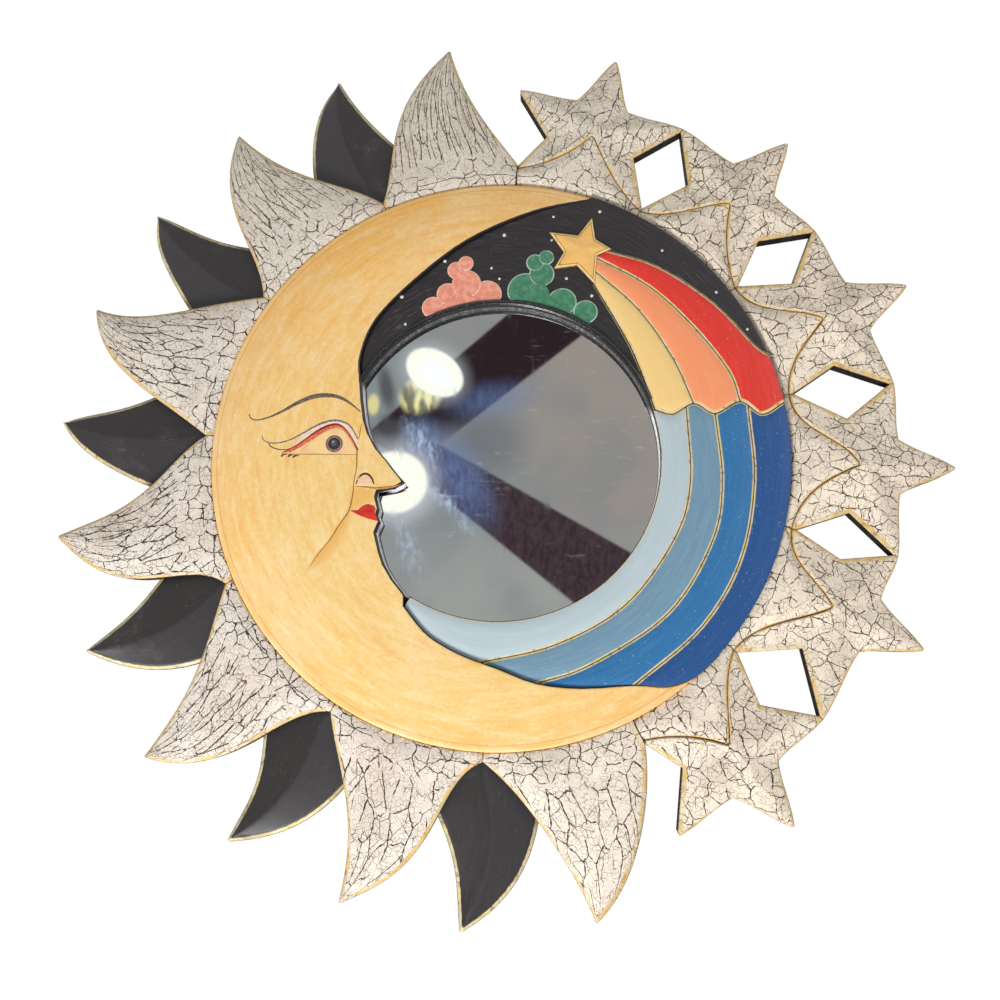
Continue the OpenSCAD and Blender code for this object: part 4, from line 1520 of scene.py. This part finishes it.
# The dots of paint that show clearly in the night sky
star_dots = [
    (72.5, 172.8), (40, 169.8), (5.5, 156.9), (38.6, 152.5), (-36.1, 138.5), (-3.5, 132.7), (2.1, 124.7),
    (48.6, 124), (-66.1, 112.8), (65.9, 111), (-63.3, 92.9), (115, 143), (151, 112), (171, 85),
]


def far_stars():
    """White dots of paint over the night sky."""
    used = small_paint("star_white", (244, 240, 232), (206, 202, 196))
    pattern = Pattern("dots", Dot_radius=1.1 * MM, Flatness=0.3, Seed=4)
    given = pattern.given
    ball = {"Segments": 12, "Rings": 6, "Radius": given["Dot radius"]}
    dot = pattern.node("GeometryNodeMeshUVSphere", {}, ball)
    flat = pattern.node("ShaderNodeCombineXYZ", {}, {0: 1.0, 1: given["Flatness"], 2: 1.0})
    dot = pattern.node("GeometryNodeTransform", {}, {"Geometry": dot, "Scale": flat})
    sizes = {2: 0.75, 3: 1.2, "Seed": given["Seed"]}
    size = pattern.node("FunctionNodeRandomValue", {"data_type": "FLOAT"}, sizes, 1)
    spread = {"Points": given["Geometry"], "Instance": dot, "Scale": size}
    pattern.end(pattern.node("GeometryNodeInstanceOnPoints", {}, spread), used, True)
    heights = sky_height(np.array(star_dots))
    return pattern.grow(object_from("far_stars", [(*p, z) for p, z in zip(star_dots, heights)], []))


def turned(name, profile, used, around=32):
    """A solid turned from a profile of radii and heights that starts and ends on its axis."""
    n = len(profile)
    inner = profile[1:-1]
    vertices = [(0, 0, profile[0][1])]
    for r, z in inner:
        vertices += [(*(r * polar(1, 360 * k / around)), z) for k in range(around)]
    vertices.append((0, 0, profile[-1][1]))
    faces = []
    for k in range(around):
        j = (k + 1) % around
        faces.append((0, 1 + j, 1 + k))
        for row in range(n - 3):
            a = 1 + row * around
            faces.append((a + k, a + j, a + around + j, a + around + k))
        a = 1 + (n - 3) * around
        faces.append((a + k, a + j, len(vertices) - 1))
    made = object_from(name, vertices, faces, False)
    made.data.materials.append(used)
    return made


def cross_recess(made, face_z, side):
    """Sinks a cross into a screw's head. side is 1 where the head looks away from the wall."""
    low, high = sorted((face_z + 0.5 * side, face_z - 1.1 * side))
    for w, h in ((1.75, 0.38), (0.38, 1.75)):
        corners = [(-w, -h), (w, -h), (w, h), (-w, h)]
        vertices = [(*p, low) for p in corners] + [(*p, high) for p in corners]
        walls = [(k, (k + 1) % 4, (k + 1) % 4 + 4, k + 4) for k in range(4)]
        slot = object_from("slot", vertices, [(3, 2, 1, 0), (4, 5, 6, 7)] + walls, False)
        cut(made, slot)
        drop(slot)


def back_screws():
    """Countersunk screws with crossed heads round the plywood."""
    face_z = 0.2
    made = turned("back_screws", [
        (0, face_z), (screw_head_r - 0.15, face_z), (screw_head_r, face_z + 0.15), (screw_r, 2.2),
        (screw_r, screw_len - 2.5), (0, screw_len),
    ], ZINC)
    cross_recess(made, face_z, -1)
    pattern = Pattern("screws_round_back", Screws=screws_n, Ring_radius=screws_r * MM, Seed=7)
    given = pattern.given
    circle = {"Vertices": given["Screws"], "Radius": given["Ring radius"]}
    ring = pattern.node("GeometryNodeMeshCircle", {}, circle)
    turn = (math.radians(90), math.radians(180 / screws_n), 0)
    ring = pattern.node("GeometryNodeTransform", {}, {"Geometry": ring, "Rotation": turn})
    turns = {0: (0, 0, 0), 1: (0, math.radians(90), 0), "Seed": given["Seed"]}
    turn = pattern.node("FunctionNodeRandomValue", {"data_type": "FLOAT_VECTOR"}, turns)
    spread = {"Points": ring, "Instance": given["Geometry"], "Rotation": turn}
    pattern.end(pattern.node("GeometryNodeInstanceOnPoints", {}, spread), ZINC)
    return pattern.grow(made)


def strap_screw():
    """The domed screw that holds the hanger."""
    z = hanger_screw_z
    made = turned("strap_screw", [
        (0, z - 1.6), (1.6, z - 1.55), (2.3, z - 1.25), (2.75, z - 0.7), (screw_head_r - 0.1, z),
        (screw_r, z), (screw_r, z + hanger_screw_len - 2), (0, z + hanger_screw_len - 0.4),
    ], ZINC)
    cross_recess(made, z - 1.6, -1)
    for v in made.data.vertices:
        v.co.z += hanger_screw_y * MM
    return made


def shooting_star():
    outline = Outline((comet + comet[:1], 1.4, 0.1), step=1.2)
    edge_z = sky_z + 1.5
    middle = (*comet_middle, sky_z + 3.0)
    fans = [(middle, (*a, edge_z), (*b, edge_z)) for a, b in zip(comet, comet[1:] + comet[:1])]

    def top(places, near):
        made = facet_height(places, fans)
        return np.where(np.isnan(made), edge_z, made) - 0.35 * (1 - falloff(near, 1.2))

    grain = along_grain(comet_middle, 20, 0.8, 14.0, 0)
    pale = ((250, 226, 168), (240, 206, 128), (206, 168, 104))
    gold = band_paint("comet_gold", (250, 194, 110), (255, 218, 150), pale, 1.5)
    return board("shooting_star", outline, top, tile_z, (gold, gold, BACK), 1.4, grain=grain)


# The main pieces

cutters = [dark_ray(i, back_z - 1) for i in range(len(dark_at))]
for i in range(len(sun_at)):
    made = sun_ray(i)
    for cutter in cutters[max(i - 1, 0):i + 1]:
        cut(made, cutter)
    fixed(made, f"sun_ray_{i + 1}")
for cutter in cutters:
    drop(cutter)
for i in range(len(dark_at)):
    fixed(dark_ray(i), f"dark_ray_{i + 1}")
for i in range(len(star_at)):
    fixed(short_ray(i), f"short_ray_{i + 1}")
    fixed(star(i), f"star_{i + 1}")

for made in (disc_body(), moon(), night_sky(), rainbow(), shooting_star(), bead(), *face_paint()):
    fixed(made, "moon_disc")
pink = small_paint("cloud_pink", (238, 148, 126), (250, 176, 150), 260.0, (252, 206, 186))
green = small_paint("cloud_green", (70, 128, 98), (92, 148, 116), 260.0, (186, 208, 194))
fixed(cloud("pink_cloud", pink_puffs, pink_body, pink), "moon_disc")
fixed(cloud("green_cloud", green_puffs, green_body, green), "moon_disc")
fixed(far_stars(), "moon_disc")
fixed(back_screws(), "panel_screws")
fixed(strap_screw(), "hanger_screw")

for node, used in (
    ("mirror_glass", mirror_silver()), ("backing_board", plywood()), ("back_panel", plywood()),
    ("hanger_strap", BRASS), ("hanger_ring", BRASS),
):
    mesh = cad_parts[node].data
    mesh.materials.clear()
    mesh.materials.append(used)


# Studio


def camera():
    """The camera stands a little to the right of the mirror and below it."""
    target = Vector((1.49, 0, -28.17)) * MM
    away = 659.7
    zoom = 1.451
    turn = math.radians(2.83)
    lift = math.radians(-9.64)
    made = placed("camera", bpy.data.cameras.new("camera"))
    out = Vector((math.sin(turn) * math.cos(lift), -math.cos(turn) * math.cos(lift), math.sin(lift)))
    made.location = target + out * (away * MM)
    made.rotation_euler = (-out).to_track_quat("-Z", "Y").to_euler()
    made.data.sensor_width = 36.0
    made.data.lens = 36.0 * away * zoom / 1000
    bpy.context.scene.camera = made


def lamp(name, at, size, power):
    """A square lamp that looks at the mirror's middle."""
    made = placed(name, bpy.data.lights.new(name, "AREA"))
    made.data.size = size
    made.data.energy = power
    made.location = at
    made.rotation_euler = (-Vector(at)).to_track_quat("-Z", "Y").to_euler()


def studio_world(level):
    """Soft even light of that level, with a white background for the camera, gloss and glass."""
    world = bpy.data.worlds.new("studio")
    world.use_nodes = True
    tree = world.node_tree
    tree.nodes.clear()
    path = add_node(tree, "ShaderNodeLightPath").outputs
    seen = path["Is Camera Ray"]
    for other in (path["Is Glossy Ray"], path["Is Transmission Ray"]):
        seen = add_node(tree, "ShaderNodeMath", {"operation": "MAXIMUM"}, {0: seen, 1: other}).outputs[0]
    strength = add_node(tree, "ShaderNodeMapRange", {}, {0: seen, 3: level, 4: 1.0}).outputs[0]
    light = add_node(tree, "ShaderNodeBackground", {}, {0: (1, 1, 1, 1), 1: strength}).outputs[0]
    add_node(tree, "ShaderNodeOutputWorld", {}, {0: light})
    bpy.context.scene.world = world


def floor():
    """A plain pale floor under the mirror, nearly white to the camera, that keeps a soft shadow."""
    f = Finish("pale_floor")
    colour = f.mix(f.noise(f.place(), 400.0, 2.0), (236, 236, 236), (244, 244, 244))
    pale = f.node("ShaderNodeBsdfPrincipled", {}, {"Base Color": colour, "Roughness": 0.8})
    white = f.node("ShaderNodeEmission", {}, {0: (1, 1, 1, 1), 1: 1.2})
    share = f.node("ShaderNodeLightPath") * 0.8
    half = 15000
    z = -1600
    corners = [(-half, z, -half), (half, z, -half), (half, z, half), (-half, z, half)]
    made = object_from("floor", corners, [(0, 1, 2, 3)])
    made.data.materials.append(f.done(f.node("ShaderNodeMixShader", {}, {0: share, 1: pale, 2: white})))


def painted_room_reflection():
    """A painted reflection on a card that glows: a grey ceiling with dark beams, two lamps and the haze of
    their light.

    Its map holds the place on the glass, in millimetres, where each point is reflected.
    """
    f = Finish("room")
    at = f.node("ShaderNodeUVMap", {"uv_map": "glass"})
    x, y = [f.axis(at, k) for k in (0, 1)]

    def left_of(p, q):
        """1 on the left of the line from p to q."""
        d = np.array(q, float) - np.array(p, float)
        a, b = [float(c) for c in np.array([-d[1], d[0]]) / np.linalg.norm(d)]
        here = a * p[0] + b * p[1]
        return f.smooth(x * a + y * b, here - 1, here + 1)

    def disc(p, wide, high, turn, inner, outer):
        """1 inside an ellipse, fading out between two shares of its size."""
        c = math.cos(math.radians(turn))
        s = math.sin(math.radians(turn))
        u = ((x - p[0]) * c + (y - p[1]) * s) / wide
        v = ((y - p[1]) * c - (x - p[0]) * s) / high
        return 1 - f.smooth(f.math("SQRT", u * u + v * v), inner, outer)

    upper = left_of((9.9, 104.1), (-29.8, 69.7)) * left_of((8.3, 45.9), (59.6, 86)) * f.smooth(y, 0, 30)
    lower = left_of((87.8, -65.4), (0.6, -14.5)) * left_of((-35.9, -28.1), (48.8, -97.9))
    lower = lower * (1 - f.smooth(y, -5, 30))
    streak = f.noise(f.stretched(f.shaken(at, 0.05, 8.0), (0.35, 0.08, 1.0)), 1.0, 4.0, 0.7)
    wood = f.layers((54, 40, 44), (f.smooth(streak, 0.3, 0.7), (74, 60, 66)), (upper, (44, 32, 36)))
    dark_left = disc((-77, 50), 7, 22, 12, 0.3, 1.1).most(disc((-74, 20), 9, 14, 25, 0.3, 1.1))
    haze = disc((-26, -14), 50, 24, -58, 0.1, 1.1).most(disc((-4, 40), 40, 17, 8, 0.1, 1.1) * 0.75)
    haze = haze.most(disc((-50, 12), 24, 20, -50, 0.1, 1.1))
    glare = disc((-34, -32), 40, 7, -50, 0.1, 1.0).most(disc((-60, -62), 10, 30, 18, 0.1, 1.1) * 0.7)
    glare = glare.most(disc((-52, 10), 12, 26, 30, 0.1, 1.1))
    fold = f.spots(0.4, 0.6, 1.0, 2.0, at=f.stretched(at, (0.14, 0.05, 1.0)))
    glow = disc((-43.5, 59.9), 30, 24, -36, 0.5, 1.1) * 0.25
    glow = glow.most(disc((-68, -17), 34, 34, 0, 0.4, 1.1) * 0.5)
    lamps = disc((-43.5, 60.5), 22.5, 15.5, -36, 0.92, 1.04).most(disc((-70, -17), 23, 22, 0, 0.9, 1.05))
    colour = f.layers(
        (136, 142, 142),
        (f.smooth(x + y * 0.3, -60, 80), (152, 142, 134)),
        (f.smooth(y * -1, 25, 95), (155, 155, 151)),
        (f.spots(0.35, 0.7, 0.02, 2.0, at=at) * 0.5, (122, 130, 134)),
        (upper.most(lower), wood),
        (disc((-6, 12), 36, 30, -20, 0.2, 1.1) * 0.5, (84, 89, 104)),
        (dark_left * 0.8, (70, 68, 72)),
        (haze * (0.35 + f.smooth(streak, 0.3, 0.75) * 0.5), (104, 124, 172)),
        (glare * f.smooth(streak, 0.42, 0.68) * 0.85, (196, 212, 240)),
        (disc((-53, 44), 17, 15, 20, 0.6, 1.05), f.mix(fold, (244, 236, 168), (120, 118, 96))),
        (disc((-86, 38), 5, 9, 0, 0.5, 1.1) * 0.8, (236, 224, 150)),
        (glow, (235, 240, 250)),
        (lamps, f.mix(disc((-42.5, 59), 15, 9, -36, 0.75, 0.95), (255, 255, 240), (255, 255, 255))),
    )
    return f.done(f.node("ShaderNodeEmission", {}, {0: colour, 1: 1.25}))


def room():
    """A card that glows with a painted reflection, which only the glass and the gloss of the paint can see.
    """
    away = 1400.0
    eye = np.array([33.6, -138.6])
    eye_y = 627.6
    glass_y = -11.0
    spread = (eye_y + away) / (eye_y - glass_y)
    corners = np.array([(-130, -130), (130, -130), (130, 130), (-130, 130)], float)
    places = eye + (corners - eye) * spread
    made = object_from("room_card", [(*p, away) for p in places], [(0, 3, 2, 1)], False)
    made.data.uv_layers.new(name="glass").data.foreach_set("uv", corners[[0, 3, 2, 1]].ravel())
    made.data.materials.append(painted_room_reflection())
    for kind in ("camera", "diffuse", "transmission", "volume_scatter", "shadow"):
        setattr(made, f"visible_{kind}", False)


camera()
studio_world(0.25)
lamp("key", (-0.5, -0.83, -1.2), 0.5, 24)
lamp("fill", (1.1, -1.1, 0.5), 0.9, 6)
lamp("back", (0.4, 1.2, 0.7), 0.9, 16)
floor()
room()
bpy.context.scene.view_settings.view_transform = "Standard"
